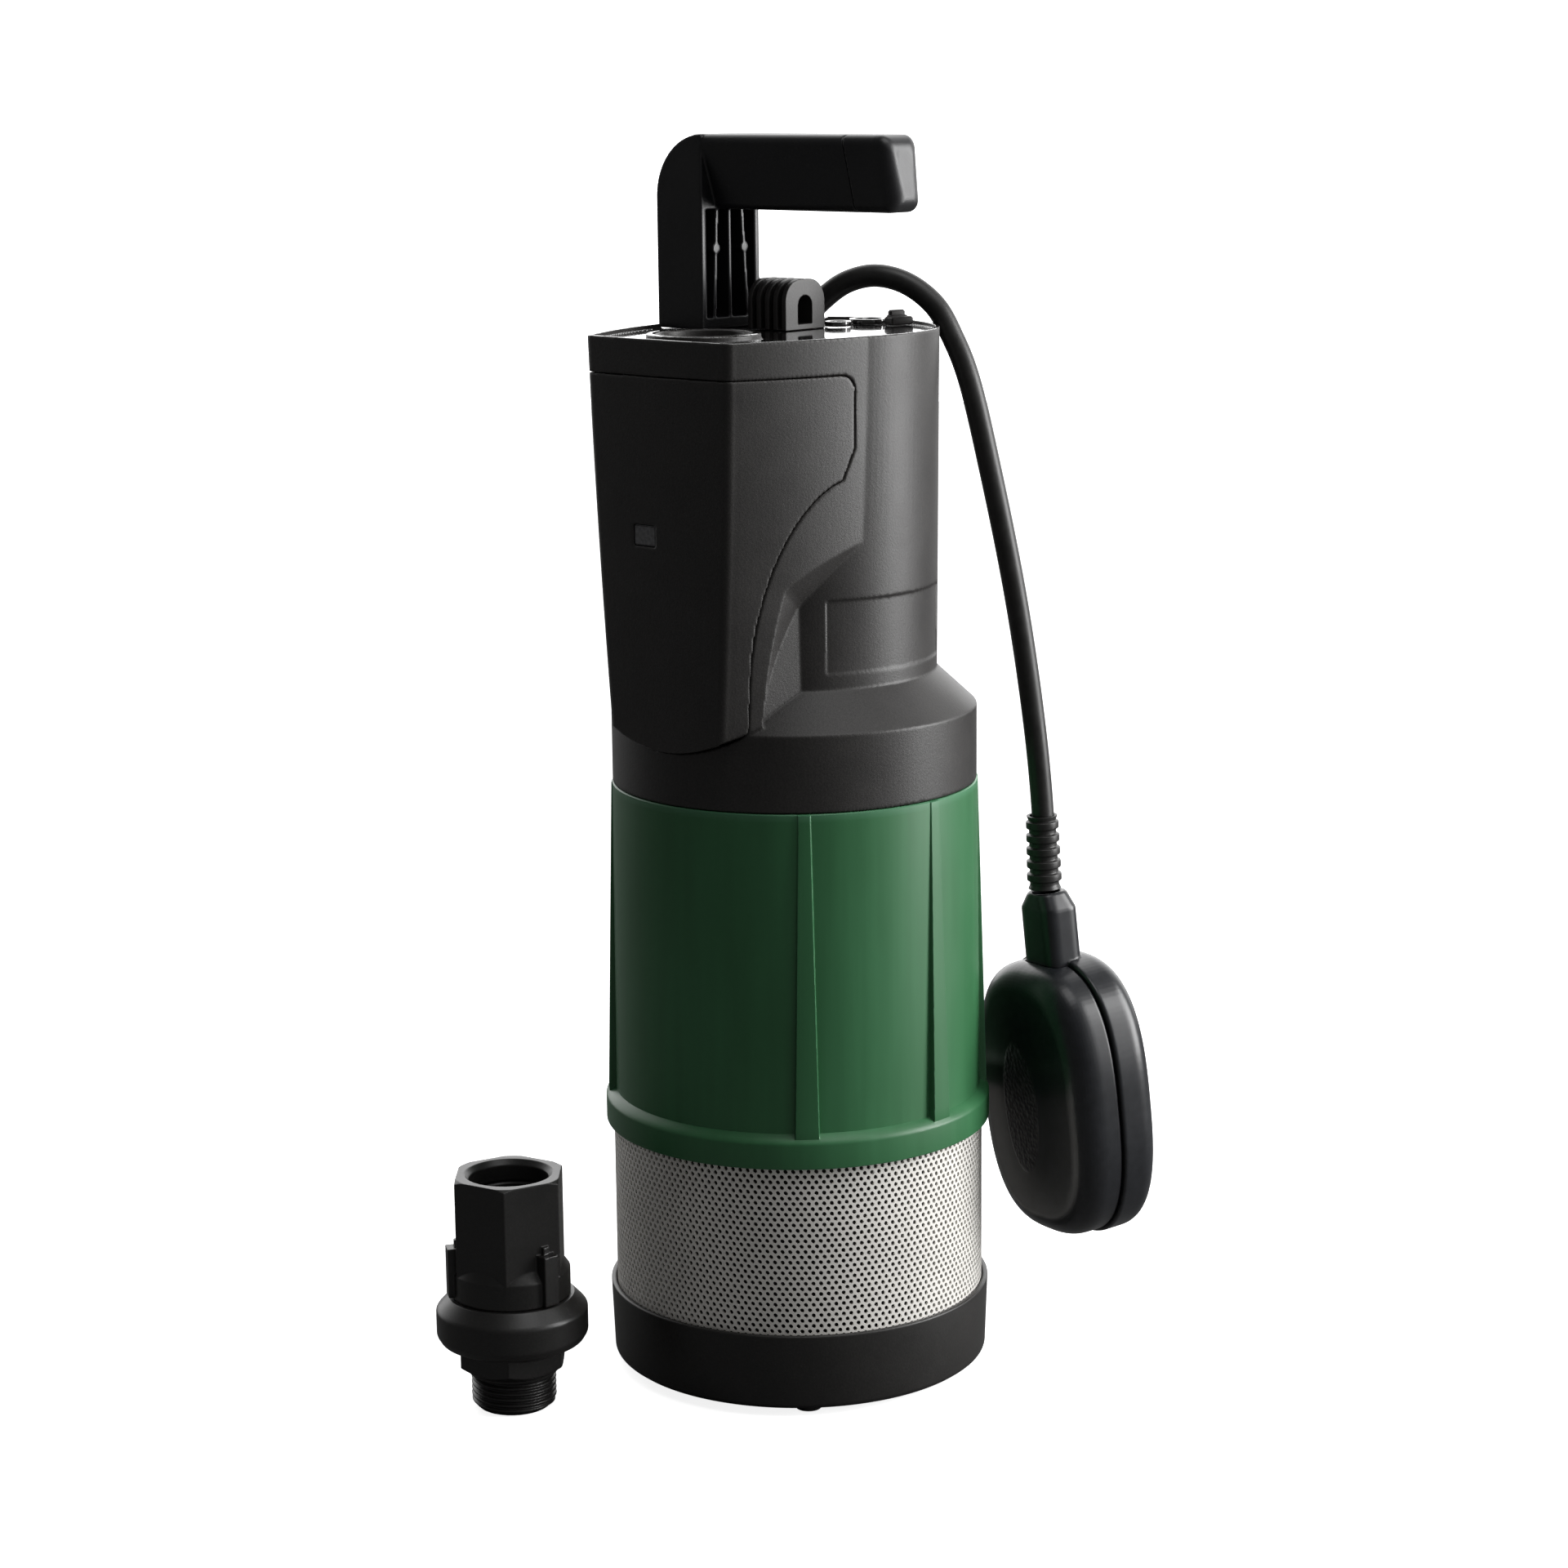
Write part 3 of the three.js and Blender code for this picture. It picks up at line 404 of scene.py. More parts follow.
class Nodes:
    """The node tree of a material or world, with short calls to add and join nodes."""

    def __init__(self, owner, surface="Principled BSDF", place="Object"):
        owner.use_nodes = True
        self.owner = owner
        self.tree = owner.node_tree
        self.surface = self.tree.nodes[surface]
        self.place = self.add("ShaderNodeTexCoord").outputs[place]

    def add(self, kind, **settings):
        node = self.tree.nodes.new(kind)
        for key, value in settings.items():
            setattr(node, key, value)
        return node

    def feed(self, target, value):
        """Joins a socket to an input, or sets the input. A tuple is a colour."""
        if isinstance(value, bpy.types.NodeSocket):
            self.tree.links.new(value, target)
        else:
            target.default_value = (*value, 1) if isinstance(value, tuple) else value

    def fill(self, node, **values):
        for key, value in values.items():
            self.feed(node.inputs[key.replace("_", " ")], value)

    def texture(self, kind, size_mm, stretch=(1, 1, 1), **values):
        """A 3-D texture whose features are about size_mm across."""
        mapping = self.add("ShaderNodeMapping")
        self.fill(mapping, Vector=self.place, Scale=[s / (size_mm * MM) for s in stretch])
        node = self.add(kind)
        self.fill(node, Vector=mapping.outputs["Vector"], Scale=1.0, **values)
        return node

    def noise(self, size_mm, detail, stretch=(1, 1, 1), roughness=0.5):
        node = self.texture("ShaderNodeTexNoise", size_mm, stretch, Detail=detail, Roughness=roughness)
        return node.outputs["Fac"]

    def ramp(self, source, dark, light, low=0.3, high=0.7):
        """Colours that run from dark to light as the source goes from low to high."""
        node = self.add("ShaderNodeValToRGB")
        for element, position, colour in zip(node.color_ramp.elements, (low, high), (dark, light)):
            element.position = position
            element.color = (*colour, 1)
        self.fill(node, Fac=source)
        return node.outputs["Color"]

    def remap(self, source, low, high, start=0.0, stop=1.0, **settings):
        node = self.add("ShaderNodeMapRange", **settings)
        self.fill(node, Value=source, From_Min=start, From_Max=stop, To_Min=low, To_Max=high)
        return node.outputs["Result"]

    def blend(self, factor, first, second, mode="MIX"):
        """The node has a set of sockets for each kind of data: 0, 6, 7 and 2 are the ones for colours."""
        node = self.add("ShaderNodeMix", data_type="RGBA", blend_type=mode)
        for index, value in ((0, factor), (6, first), (7, second)):
            self.feed(node.inputs[index], value)
        return node.outputs[2]

    def bump(self, height, strength, depth_mm, **below):
        node = self.add("ShaderNodeBump")
        self.fill(node, Strength=strength, Distance=depth_mm * MM, Height=height, **below)
        return node.outputs["Normal"]

    def maths(self, operation, *values):
        node = self.add("ShaderNodeMath", operation=operation)
        for target, value in zip(node.inputs, values):
            self.feed(target, value)
        return node.outputs[0]

    def edges(self, start, stop):
        """0 on flat skin, 1 on convex edges."""
        point = self.add("ShaderNodeNewGeometry").outputs["Pointiness"]
        return self.remap(point, 0.0, 1.0, start, stop)

    def surfaced(self, **values):
        """Fills the surface's inputs and returns the finished material."""
        self.fill(self.surface, **values)
        return self.owner


def new_look(name):
    return Nodes(bpy.data.materials.new(name))


def shade_of(colour, factor):
    return tuple(clamp(c * factor) for c in colour)


def grey(level):
    return (level, level, level)


def moulded_plastic(name, colour, roughness, grain=0.8, depth=0.11, wear=0.35):
    """Moulded plastic: spark-eroded grain, cloudy colour and edges polished by handling."""
    n = new_look(name)
    cloud = n.noise(22, 3.0, roughness=0.6)
    speck = n.noise(grain, 2.0, roughness=0.55)
    tone = n.ramp(cloud, shade_of(colour, 0.86), shade_of(colour, 1.16))
    fleck = n.ramp(speck, grey(0.8), (1.25, 1.24, 1.22), 0.35, 0.72)
    base = n.blend(1.0, tone, fleck, "MULTIPLY")
    worn = n.blend(n.edges(0.52, 0.6), base, shade_of(colour, 1.0 + 2 * wear))
    rough = n.remap(cloud, roughness - 0.05, roughness + 0.07)
    return n.surfaced(Base_Color=worn, Roughness=rough, Normal=n.bump(speck, 0.5, depth), IOR=1.5)


def deck_plastic():
    """The head's top plate: polished in the mould, so it mirrors the room at a low angle."""
    n = new_look("deck_gloss")
    cloud = n.noise(14, 2.0)
    tone = n.ramp(cloud, (0.014, 0.013, 0.013), (0.02, 0.019, 0.018))
    return n.surfaced(Base_Color=tone, Roughness=n.remap(cloud, 0.07, 0.14), Normal=n.bump(cloud, 0.05, 0.05),
                      IOR=1.6, Coat_Weight=1.0, Coat_Roughness=0.04, Coat_IOR=1.7)


def green_plastic():
    """Satin green moulding with faint flow streaks along its height."""
    n = new_look("green_shell")
    flow = n.noise(5, 2.0, (1, 1, 0.06))
    tone = n.ramp(n.noise(38, 3.0, (1, 1, 0.4)), (0.03, 0.135, 0.05), (0.038, 0.16, 0.064))
    base = n.blend(1.0, tone, n.ramp(flow, grey(0.95), grey(1.05)), "MULTIPLY")
    worn = n.blend(n.edges(0.52, 0.62), base, (0.13, 0.32, 0.2))
    grain = n.bump(n.noise(0.5, 1.5), 0.22, 0.03)
    return n.surfaced(Base_Color=worn, Roughness=n.remap(flow, 0.36, 0.46), Normal=grain, IOR=1.49)


def sheet_steel(name="stainless", colour=(0.82, 0.79, 0.74), roughness=0.3, stretch=(0.25, 0.25, 12),
                metallic=1.0):
    """Rolled or turned metal: fine lines round the part, faint stains."""
    n = new_look(name)
    lines = n.noise(3, 3.0, stretch, 0.6)
    tone = n.ramp(n.noise(25, 2.0), shade_of(colour, 0.9), colour)
    rough = n.remap(lines, roughness - 0.08, roughness + 0.1)
    return n.surfaced(Base_Color=tone, Roughness=rough, Normal=n.bump(lines, 0.12, 0.02), Metallic=metallic)


def rubber(name, colour, roughness):
    """Cable sheath and seals: dull, with scuffs and a slight orange peel."""
    n = new_look(name)
    scuff = n.noise(6, 4.0, roughness=0.65)
    tone = n.ramp(scuff, shade_of(colour, 0.8), shade_of(colour, 1.5), 0.35, 0.75)
    rough = n.remap(scuff, roughness - 0.08, roughness + 0.12)
    return n.surfaced(Base_Color=tone, Roughness=rough, Normal=n.bump(n.noise(0.9, 2.0), 0.25, 0.05))


def float_plastic():
    """Blow-moulded float: semi-gloss skin, with a pebbled oval on its broad face."""
    n = new_look("float_skin")
    n.place = n.add("ShaderNodeAttribute", attribute_name=OWN_PLACE).outputs["Vector"]
    peel = n.noise(4, 3.0)
    pebble = n.texture("ShaderNodeTexVoronoi", 1.9, Randomness=0.9).outputs["Distance"]
    split = n.add("ShaderNodeSeparateXYZ")
    n.fill(split, Vector=n.place)
    squares = []
    for axis, centre, reach in (("X", -3, 11.5), ("Z", -2, 27)):
        shift = n.maths("MULTIPLY_ADD", split.outputs[axis], 1 / (reach * MM), -centre / reach)
        squares.append(n.maths("POWER", shift, 2))
    inside = n.remap(n.maths("ADD", *squares), 1.0, 0.0, 0.9, 1.05)
    skin = n.bump(n.noise(0.5, 2.0), 0.2, 0.02, Normal=n.bump(peel, 0.1, 0.08))
    skin = n.bump(n.maths("MULTIPLY", pebble, inside), 0.9, 0.6, Normal=skin)
    tone = n.blend(inside, n.ramp(peel, (0.009, 0.01, 0.012), (0.014, 0.015, 0.018)), (0.01, 0.01, 0.012))
    return n.surfaced(Base_Color=tone, Roughness=n.remap(inside, 0.3, 0.5), Normal=skin)


def smoky_lens():
    n = new_look("status_lens")
    cloud = n.noise(1.5, 2.0)
    tone = n.ramp(cloud, (0.1, 0.1, 0.105), (0.17, 0.17, 0.175))
    return n.surfaced(Base_Color=tone, Roughness=n.remap(cloud, 0.12, 0.25), Coat_Weight=0.8)


def windings():
    """Copper windings: close parallel strands."""
    n = new_look("copper_windings")
    strand = n.noise(0.9, 1.0, (1, 1, 0.1))
    tone = n.ramp(strand, (0.22, 0.07, 0.03), (0.7, 0.3, 0.14), 0.35, 0.65)
    return n.surfaced(Base_Color=tone, Normal=n.bump(strand, 0.8, 0.4), Metallic=0.7, Roughness=0.35)


# colour, roughness, then grain, depth and wear where they differ from the usual ones
PLASTICS = {
    "black_plastic": ((0.021, 0.0195, 0.0188), 0.45),
    "handle_plastic": ((0.009, 0.009, 0.0105), 0.36, 0.7, 0.05),
    "base_plastic": ((0.014, 0.0132, 0.0125), 0.42, 0.8, 0.06),
    "ceramic": ((0.72, 0.7, 0.64), 0.35, 1.2, 0.01, 0.1),
    "impeller_plastic": ((0.06, 0.065, 0.07), 0.45),
    "board": ((0.04, 0.16, 0.08), 0.5, 1.6, 0.02),
    "adapter_plastic": ((0.014, 0.0135, 0.013), 0.36, 0.8, 0.03),
}
MATERIALS = {
    **{name: moulded_plastic(name, *look) for name, look in PLASTICS.items()},
    "green_plastic": green_plastic(),
    "stainless": sheet_steel(),
    "perforated_sheet": sheet_steel("perforated_sheet", (0.97, 0.945, 0.895), 0.42, metallic=0.15),
    # stage casing: stainless steel painted near-black, as painted shade behind the strainer's holes
    "casing_steel_painted_shade": sheet_steel("casing_steel_painted_shade", (0.045, 0.043, 0.04), 0.55, metallic=0.6),
    "machined_steel": sheet_steel("machined_steel", grey(0.6), 0.28, (1, 1, 6)),
    "float_plastic": float_plastic(),
    "cable_rubber": rubber("cable_rubber", (0.012, 0.0115, 0.011), 0.4),
    "seal_rubber": rubber("seal_rubber", grey(0.015), 0.65),
    "copper": windings(),
    "window": smoky_lens(),
    "deck": deck_plastic(),
}


def finished(obj, slot, body="pump", look=None):
    """Gives a piece its look, which is the slot's material unless another look is given, and its body; it
    stands for the CAD node that its name says.
    """
    obj.data.materials.clear()
    obj.data.materials.append(MATERIALS[look or slot])
    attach(obj, body)
    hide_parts(obj.name.removesuffix("_visual"))


# ---- base and strainer

FOOT_BEARINGS = (45, 135, 225, 315)
PILLAR_BEARINGS = (0, 90, 180, 270)
FEET_RING = 64.0
PILLAR_RING = 55.0


def at_bearing(obj, bearing, radius):
    return placed(placed(obj, radius), turn=bearing)


def base_cup():
    wall = STRAINER_RADIUS + GAP
    outline = [(0, 3), (72.8, 3), (75.0, 4.6), (BASE_RADIUS, BASE_RIM), (wall, BASE_RIM), (wall, 6), (0, 6)]
    cup = soft_lathe("base_cup_visual", outline, 0.9, 4, 200)
    middle_pad, *feet = [rounded(drum("foot", 5.5, 0, 4, 32), 0.6) for _ in range(5)]
    for foot, bearing in zip(feet, FOOT_BEARINGS):
        at_bearing(foot, bearing, FEET_RING)
    pillars = [drum("pillar", 4.5, 5, 16.7, 32) for _ in PILLAR_BEARINGS]
    screw_side = [(0, 2), (3.8, 2), (3.8, 5), (2, 5), (2, 18), (0, 18)]
    holes = [lathe("hole", screw_side, 32) for _ in PILLAR_BEARINGS]
    for pillar, hole, bearing in zip(pillars, holes, PILLAR_BEARINGS):
        at_bearing(pillar, bearing, PILLAR_RING)
        at_bearing(hole, bearing, PILLAR_RING)
    cut(joined(cup, middle_pad, *feet, *pillars), *holes)
    shade(cup)
    finished(cup, "black_plastic", look="base_plastic")


HOLE_COLUMNS = 157
HOLE_ROW = 2.14
HOLE_HALF = (0.84, 0.92)
HOLE_LEAN = math.radians(8)
SHEET_THICK = 0.8


def strainer_sleeve():
    """Perforated sheet: rows of slightly leaning oval holes, each row half a pitch on from the last."""
    low, high = span("strainer_sleeve")
    outer = STRAINER_RADIUS
    inner = outer - SHEET_THICK
    skins = (outer, inner)
    pitch = 2 * math.pi / HOLE_COLUMNS
    rows = int((JACKET_FOOT - BASE_RIM + 4) / HOLE_ROW)
    first = BASE_RIM - 2
    points = []
    faces = []
    seen = {}

    def point(u, z, radius):
        """Number of the point that lies u pitches round the sleeve; the same place gives the same number."""
        key = (round(u % HOLE_COLUMNS, 6), round(z, 4), radius)
        if key not in seen:
            seen[key] = len(points)
            points.append((radius * math.cos(u * pitch), radius * math.sin(u * pitch), z))
        return seen[key]

    cell = ((-0.5, -0.5), (0, -0.5), (0.5, -0.5), (0.5, 0), (0.5, 0.5), (0, 0.5), (-0.5, 0.5), (-0.5, 0))
    hole = []
    for angle in stations(-135, 180, 7):
        up = HOLE_HALF[1] * math.sin(math.radians(angle))
        across = HOLE_HALF[0] * math.cos(math.radians(angle)) - up * math.tan(HOLE_LEAN)
        hole.append((across / (outer * pitch), up))
    for row in range(rows):
        z = first + (row + 0.5) * HOLE_ROW
        for column in range(HOLE_COLUMNS):
            u = column + 0.5 * (row % 2)
            rims = []
            for radius in skins:
                border = [point(u + across, z + up * HOLE_ROW, radius) for across, up in cell]
                rims.append([point(u + across, z + up, radius) for across, up in hole])
                faces += band(border, rims[-1])
            faces += band(*rims)
    top = first + rows * HOLE_ROW
    for edge, end in ((first, low.z), (top, high.z)):
        for i in range(2 * HOLE_COLUMNS):
            u = i / 2
            v = u + 0.5
            corners = ((u, edge), (v, edge), (v, end), (u, end))
            faces += [[point(*corner, radius) for corner in corners] for radius in skins]
            rim = ((u, outer), (v, outer), (v, inner), (u, inner))
            faces.append([point(place, end, radius) for place, radius in rim])
    sleeve = mesh_object("strainer_sleeve_visual", points, faces, 30)
    finished(sleeve, "stainless", look="perforated_sheet")


# ---- green jacket

LIP_TOP = 112.0
RIB_BEARINGS = (45, 90, 135, 180, 225, 270, 315)


def jacket_radius(bearing, z):
    """Outer radius of the jacket: a slightly flared panel, standing ribs and the band at its foot."""
    panel = scaled(z, COLLAR_FOOT, LIP_TOP, JACKET_RADIUS, 72.8)
    for rib in RIB_BEARINGS:
        away = abs((bearing - rib + 180) % 360 - 180)
        if away > 6:
            continue
        across = STRAINER_RADIUS * math.sin(math.radians(away))
        half = scaled(z, COLLAR_FOOT, LIP_TOP, 2.4, 4.6)
        crest = scaled(z, COLLAR_FOOT, LIP_TOP, 72.1, 75.6)
        fall = clamp((across - half + 0.25) / 0.5)
        panel = max(panel, mix(crest, panel, fall * fall * (3 - 2 * fall)))
    return panel


def jacket_bearings():
    """Sample bearings in degrees, close together at the ribs' flanks."""
    marks = {round(b * 1.5, 3) for b in range(240)}
    for rib in RIB_BEARINGS:
        for side in (-1, 1):
            marks.update(round((rib + side * (1.4 + 0.11 * k)) % 360, 3) for k in range(26))
        marks.update(round(rib + 0.35 * k, 3) for k in range(-4, 5))
    return sorted(marks)


def outer_jacket():
    from_front = jacket_bearings()
    levels = stations(LIP_TOP + 1.6, COLLAR_FOOT - GAP - 0.4, 40)
    inner = JACKET_RADIUS - WALL
    seat = STRAINER_RADIUS + GAP
    foot_profile = filleted([(seat, 104.5), (seat, JACKET_FOOT), (JACKET_LIP_RADIUS, JACKET_FOOT),
                             (JACKET_LIP_RADIUS, LIP_TOP - 1.5), (75.4, LIP_TOP)], 0.7, 4, closed=False)
    top_profile = filleted([(JACKET_RADIUS - 0.5, COLLAR_FOOT - GAP), (67.6, COLLAR_FOOT - GAP), (67.6, 250),
                            (65.2, 250), (65.2, COLLAR_FOOT - 8), (inner, COLLAR_FOOT - 14), (inner, 104.5)],
                           0.4, 2, closed=False)
    count = len(from_front)
    rings = [[(r, z)] * count for r, z in foot_profile]
    for z in levels:
        rings.append([(jacket_radius(b, z), z) for b in from_front])
    rings += [[(r, z)] * count for r, z in top_profile]
    around = [math.radians(b - 90) for b in from_front]
    rings = [[(r * math.cos(a), r * math.sin(a), z) for (r, z), a in zip(ring, around)] for ring in rings]
    finished(loft("outer_jacket_visual", rings, 30, endless=True), "green_plastic")


# ---- head


def tower_radius(z):
    return scaled(z, TOWER_FOOT, TOWER_TOP, TOWER_FOOT_RADIUS, TOWER_RADIUS)


def front_half(z):
    t = clamp((z - CHIN_FOOT) / (TOWER_TOP - CHIN_FOOT))
    return CHIN_HALF + (FRONT_HALF - CHIN_HALF) * t * (1.45 - 0.45 * t)


def head_ring(z, inset=0.0):
    """Plan of the head: flat front, rounded corners, flanks that run into a round back."""
    radius = tower_radius(z) - inset
    corner = max(FRONT_CORNER - inset, 1.0)
    cx = front_half(z) - inset - corner
    cy = -(scaled(z, CHIN_FOOT, TOWER_TOP, CHIN_REACH, FRONT_REACH) - inset - corner)
    bearing = math.atan2(cy, cx) + math.acos((radius - corner) / math.hypot(cx, cy))
    nx = math.cos(bearing)
    ny = math.sin(bearing)
    right = [(cx * t, cy - corner - FRONT_BULGE * (1 - t * t)) for t in stations(0, 1, 8)[:-1]]
    right += arc(cx, cy, corner, -90, math.degrees(bearing), 10)
    for t in stations(0, 1, 20)[1:-1]:
        swell = FLANK_BULGE * 4 * t * (1 - t)
        right.append((mix(cx + corner * nx, radius * nx, t) + swell * nx,
                      mix(cy + corner * ny, radius * ny, t) + swell * ny))
    right += arc(0, 0, radius, math.degrees(bearing), 90, 40)
    left = [(-x, y) for x, y in reversed(right[1:-1])]
    return [(x, y, z) for x, y in right + left]


def head_loft(name, low, high, inset=0.0):
    count = max(2, int((high - low) / 6))
    return loft(name, [head_ring(z, inset) for z in stations(low, high, count)])


SCOOP_Y = 50.0
SCOOP_Z = 252.6
SCOOP_RADIUS = 109.0
SCOOP_FLARE = 19.0
SCOOP_START = 29.3
SCOOP_STOP = 94.0
FACET_BACK = (39.7, -39.5)
FACET_FRONT = (33.4, -63.0)
COVER_REAR = -23.3
COVER_TOP = 399.3
COVER_CORNER = 6.0


def scoop_flare(angle):
    t = clamp((angle - SCOOP_START) / (82 - SCOOP_START))
    return 1 + SCOOP_FLARE * math.sin(math.pi * math.sqrt(t)) ** 1.3


def scoop_point(angle, radius):
    a = math.radians(angle)
    return SCOOP_Y - radius * math.sin(a), SCOOP_Z + radius * math.cos(a)


def core_half(y):
    """Half width of the core that stands inside the scoops."""
    if y > FACET_BACK[1]:
        return math.sqrt(TOWER_FOOT_RADIUS**2 - y * y) + 0.5
    return scaled(y, FACET_BACK[1], FACET_FRONT[1], FACET_BACK[0], FACET_FRONT[0])


def scoop_cutter(side):
    angles = stations(SCOOP_START, SCOOP_STOP, 60)
    rings = []
    for offset, share in ((-9, -0.2), (0, 0), (1.4, 0.28), (2.8, 0.62), (4.2, 1), (12, 1.2), (40, 1.8)):
        ring = []
        for angle in angles:
            core_y = scoop_point(angle, SCOOP_RADIUS)[0]
            y, z = scoop_point(angle, SCOOP_RADIUS + share * scoop_flare(angle))
            ring.append((side * (core_half(core_y) + offset), y, z))
        x = side * (45 + offset)
        rings.append([*ring, (x, 30, 243), (x, 30, 320)])
    return loft("scoop", rings)


def cover_region(grow):
    """Everything ahead of the cover's side outline."""
    rear = COVER_REAR + grow
    top = COVER_TOP + grow
    seam = []
    for angle in stations(36, 86, 24):
        offset = scaled(angle, 36, 86, 7, 4) - grow * clamp(scaled(angle, 42, 66, 1.0, 0.25), 0.25, 1.0)
        seam.append(scoop_point(angle, SCOOP_RADIUS + scoop_flare(angle) + offset))
    r = COVER_CORNER
    upper_corner = arc(rear - r, top - r, r, 90, 0, 6)
    outline = [(-95, top), *upper_corner, (rear, 372), *seam, (-62 + grow, 250), (-95, 250)]
    return prism("cover_region", outline, -90, 90, "x")


def chin_mask(grow):
    centre = CHIN_FOOT + CHIN_ARC
    lower_edge = arc(0, centre, CHIN_ARC + grow, 180, 360, 60)
    outline = [*lower_edge, (80, centre), (80, 420), (-80, 420), (-80, centre)]
    return prism("chin_mask", outline, -90, 70, "y")


LABEL_BEARINGS = (-35, 35)
LABEL_SPAN = (287.4, 315.4)


def label_pocket():
    """Shallow recess for a rating plate on the tower's right flank."""
    start, stop = LABEL_BEARINGS
    outline = arc(0, 0, 62, start, stop, 30) + arc(0, 0, TOWER_FOOT_RADIUS - 0.35, stop, start, 30)
    return prism("label_pocket", outline, *LABEL_SPAN)


def skirt():
    outline = [(0, COLLAR_FOOT), (COLLAR_RADIUS, COLLAR_FOOT), (COLLAR_RADIUS, COLLAR_TOP),
               (TOWER_FOOT_RADIUS, TOWER_FOOT), (0, TOWER_FOOT)]
    return lathe("skirt", outline, 200)


def tower():
    outline = [(0, CORE_FOOT), (TOWER_FOOT_RADIUS, CORE_FOOT), (TOWER_FOOT_RADIUS, TOWER_FOOT),
               (tower_radius(400) - 0.02, 400), (0, 400)]
    return lathe("tower", outline, 200)


def facet_core():
    (bx, by), (fx, fy) = FACET_BACK, FACET_FRONT
    return prism("core", [(-fx, fy), (fx, fy), (bx, by), (bx, 0), (-bx, 0), (-bx, by)], CORE_FOOT, 340)


def carved_blank(name):
    blank = head_loft(name, CHIN_FOOT - 2, TOWER_TOP)
    common(blank, chin_mask(0))
    return cut(blank, scoop_cutter(1), scoop_cutter(-1))


def at_outlet(obj):
    return placed(obj, 0, OUTLET_Y)


def outlet_duct():
    outline = [(0, 278), (17.6, 278), (17.6, 388), (20.4, 391), (20.4, DECK_UNDERSIDE),
               (21.5, DECK_UNDERSIDE), (21.5, TOWER_TOP + 0.8), (0, TOWER_TOP + 0.8)]
    return at_outlet(lathe("duct", outline, 96))


CORE_FOOT = 262.0
DECK_UNDERSIDE = 407.5
DRY_FLOOR = 285.0
GLANDS = {"float": (-16.2, 27.8), "power": (-39.5, 25.4)}
COLUMN_BACK = -54.6
COLUMN_FRONT = -30.6
COLUMN_HALF = 16.3


def cover_seat():
    above = common(cover_region(GAP), box("above", -90, 90, -95, 90, TOWER_FOOT, 420))
    below = common(head_loft("below", CHIN_FOOT - 4, TOWER_FOOT + 1, -GAP), chin_mask(GAP), cover_region(GAP))
    cut(below, drum("backing", CHIN_SEAT, 240, 300, 200))
    return joined(above, below)


def head_housing(carved):
    head = copied(carved, "head_housing_visual")
    joined(head, facet_core(), tower(), skirt())
    cut(head, label_pocket(), cover_seat())
    wet = lathe("wet", [(0, COLLAR_FOOT - 1), (68.3, COLLAR_FOOT - 1), (68.3, 253.3), (66, 253.3), (66, 262),
                        (52, 279), (0, 279)], 96)
    dry = head_loft("dry", DRY_FLOOR, DECK_UNDERSIDE, WALL + 0.6)
    front_side = [(-90, 318), (-20, 340), (-20, DECK_UNDERSIDE), (-90, DECK_UNDERSIDE)]
    dry_mask = joined(drum("dry_round", 52.8, DRY_FLOOR, DECK_UNDERSIDE),
                      prism("dry_front", front_side, -60, 60, "x"))
    common(dry, dry_mask)
    rim = head_loft("rim", DECK, TOWER_TOP + 1, 1.7)
    seat = box("seat", -60, COLUMN_FRONT + GAP, -COLUMN_HALF - GAP, COLUMN_HALF + GAP, DECK, TOWER_TOP + 1)
    cut(head, wet, dry, rim, seat)
    joined(head, outlet_duct())
    bores = [at_outlet(drum("bore", OUTLET_BORE, 255, 420)), at_outlet(drum("counterbore", 18.5, 392, 420))]
    bores += [placed(drum("cable_hole", CABLE_RADIUS + 1, 400, 415, 32), *place) for place in GLANDS.values()]
    cut(head, *bores)
    moulded(head, HEAD_VOXEL, 3)
    finished(head, "black_plastic")
    head.data.materials.append(MATERIALS["deck"])
    for face in head.data.polygons:
        if face.normal.z > 0.8 and face.center.z > (DECK - 4) * MM:
            face.material_index = 1
    return head


WINDOW_X = -7.4
WINDOW_Z = 340.0
WINDOW_HALF = (5.5, 3.75)
WINDOW_FRONT = -73.6
WINDOW_BACK = -70.6


def window_block(name, grow, edge=0.0):
    w, h = WINDOW_HALF
    return box(name, WINDOW_X - w - grow, WINDOW_X + w + grow, WINDOW_FRONT - 20 * grow,
               WINDOW_BACK + 20 * grow, WINDOW_Z - h - grow, WINDOW_Z + h + grow, edge)


def front_cover(carved):
    cover = copied(carved, "front_cover_visual")
    common(cover, cover_region(0))
    cut(cover, head_loft("hollow", 263, 401, WALL), drum("backing", CHIN_SEAT + GAP, 240, TOWER_FOOT, 200))
    cut(cover, window_block("window_hole", GAP), at_outlet(drum("well", 22, 380, 402)))
    moulded(cover, HEAD_VOXEL, 3)
    finished(cover, "black_plastic")


def status_window():
    lens = window_block("status_window_visual", 0, edge=0.4)
    finished(lens, "window")


def outlet_insert():
    insert = at_outlet(tube_of("outlet_insert_visual", 18.2, OUTLET_BORE, 392.3, TOWER_TOP + 0.6, 0.5))
    finished(insert, "black_plastic")


# ---- handle

GRIP_END = 57.0
END_SWELL = 2.0      # the rounded end stands this far past the grip's nominal end
END_ROUND = 6.0      # depth and side radius of the domed end
END_LEAN = 1.5       # the end's foot stands this far ahead of its middle, and its top as far behind
BEND_RADIUS = 24.0
CAP_SEAM = 38.5
TONGUE = (463, 480.5)   # height of the cap's tongue and of its socket
TONGUE_HALF = 6


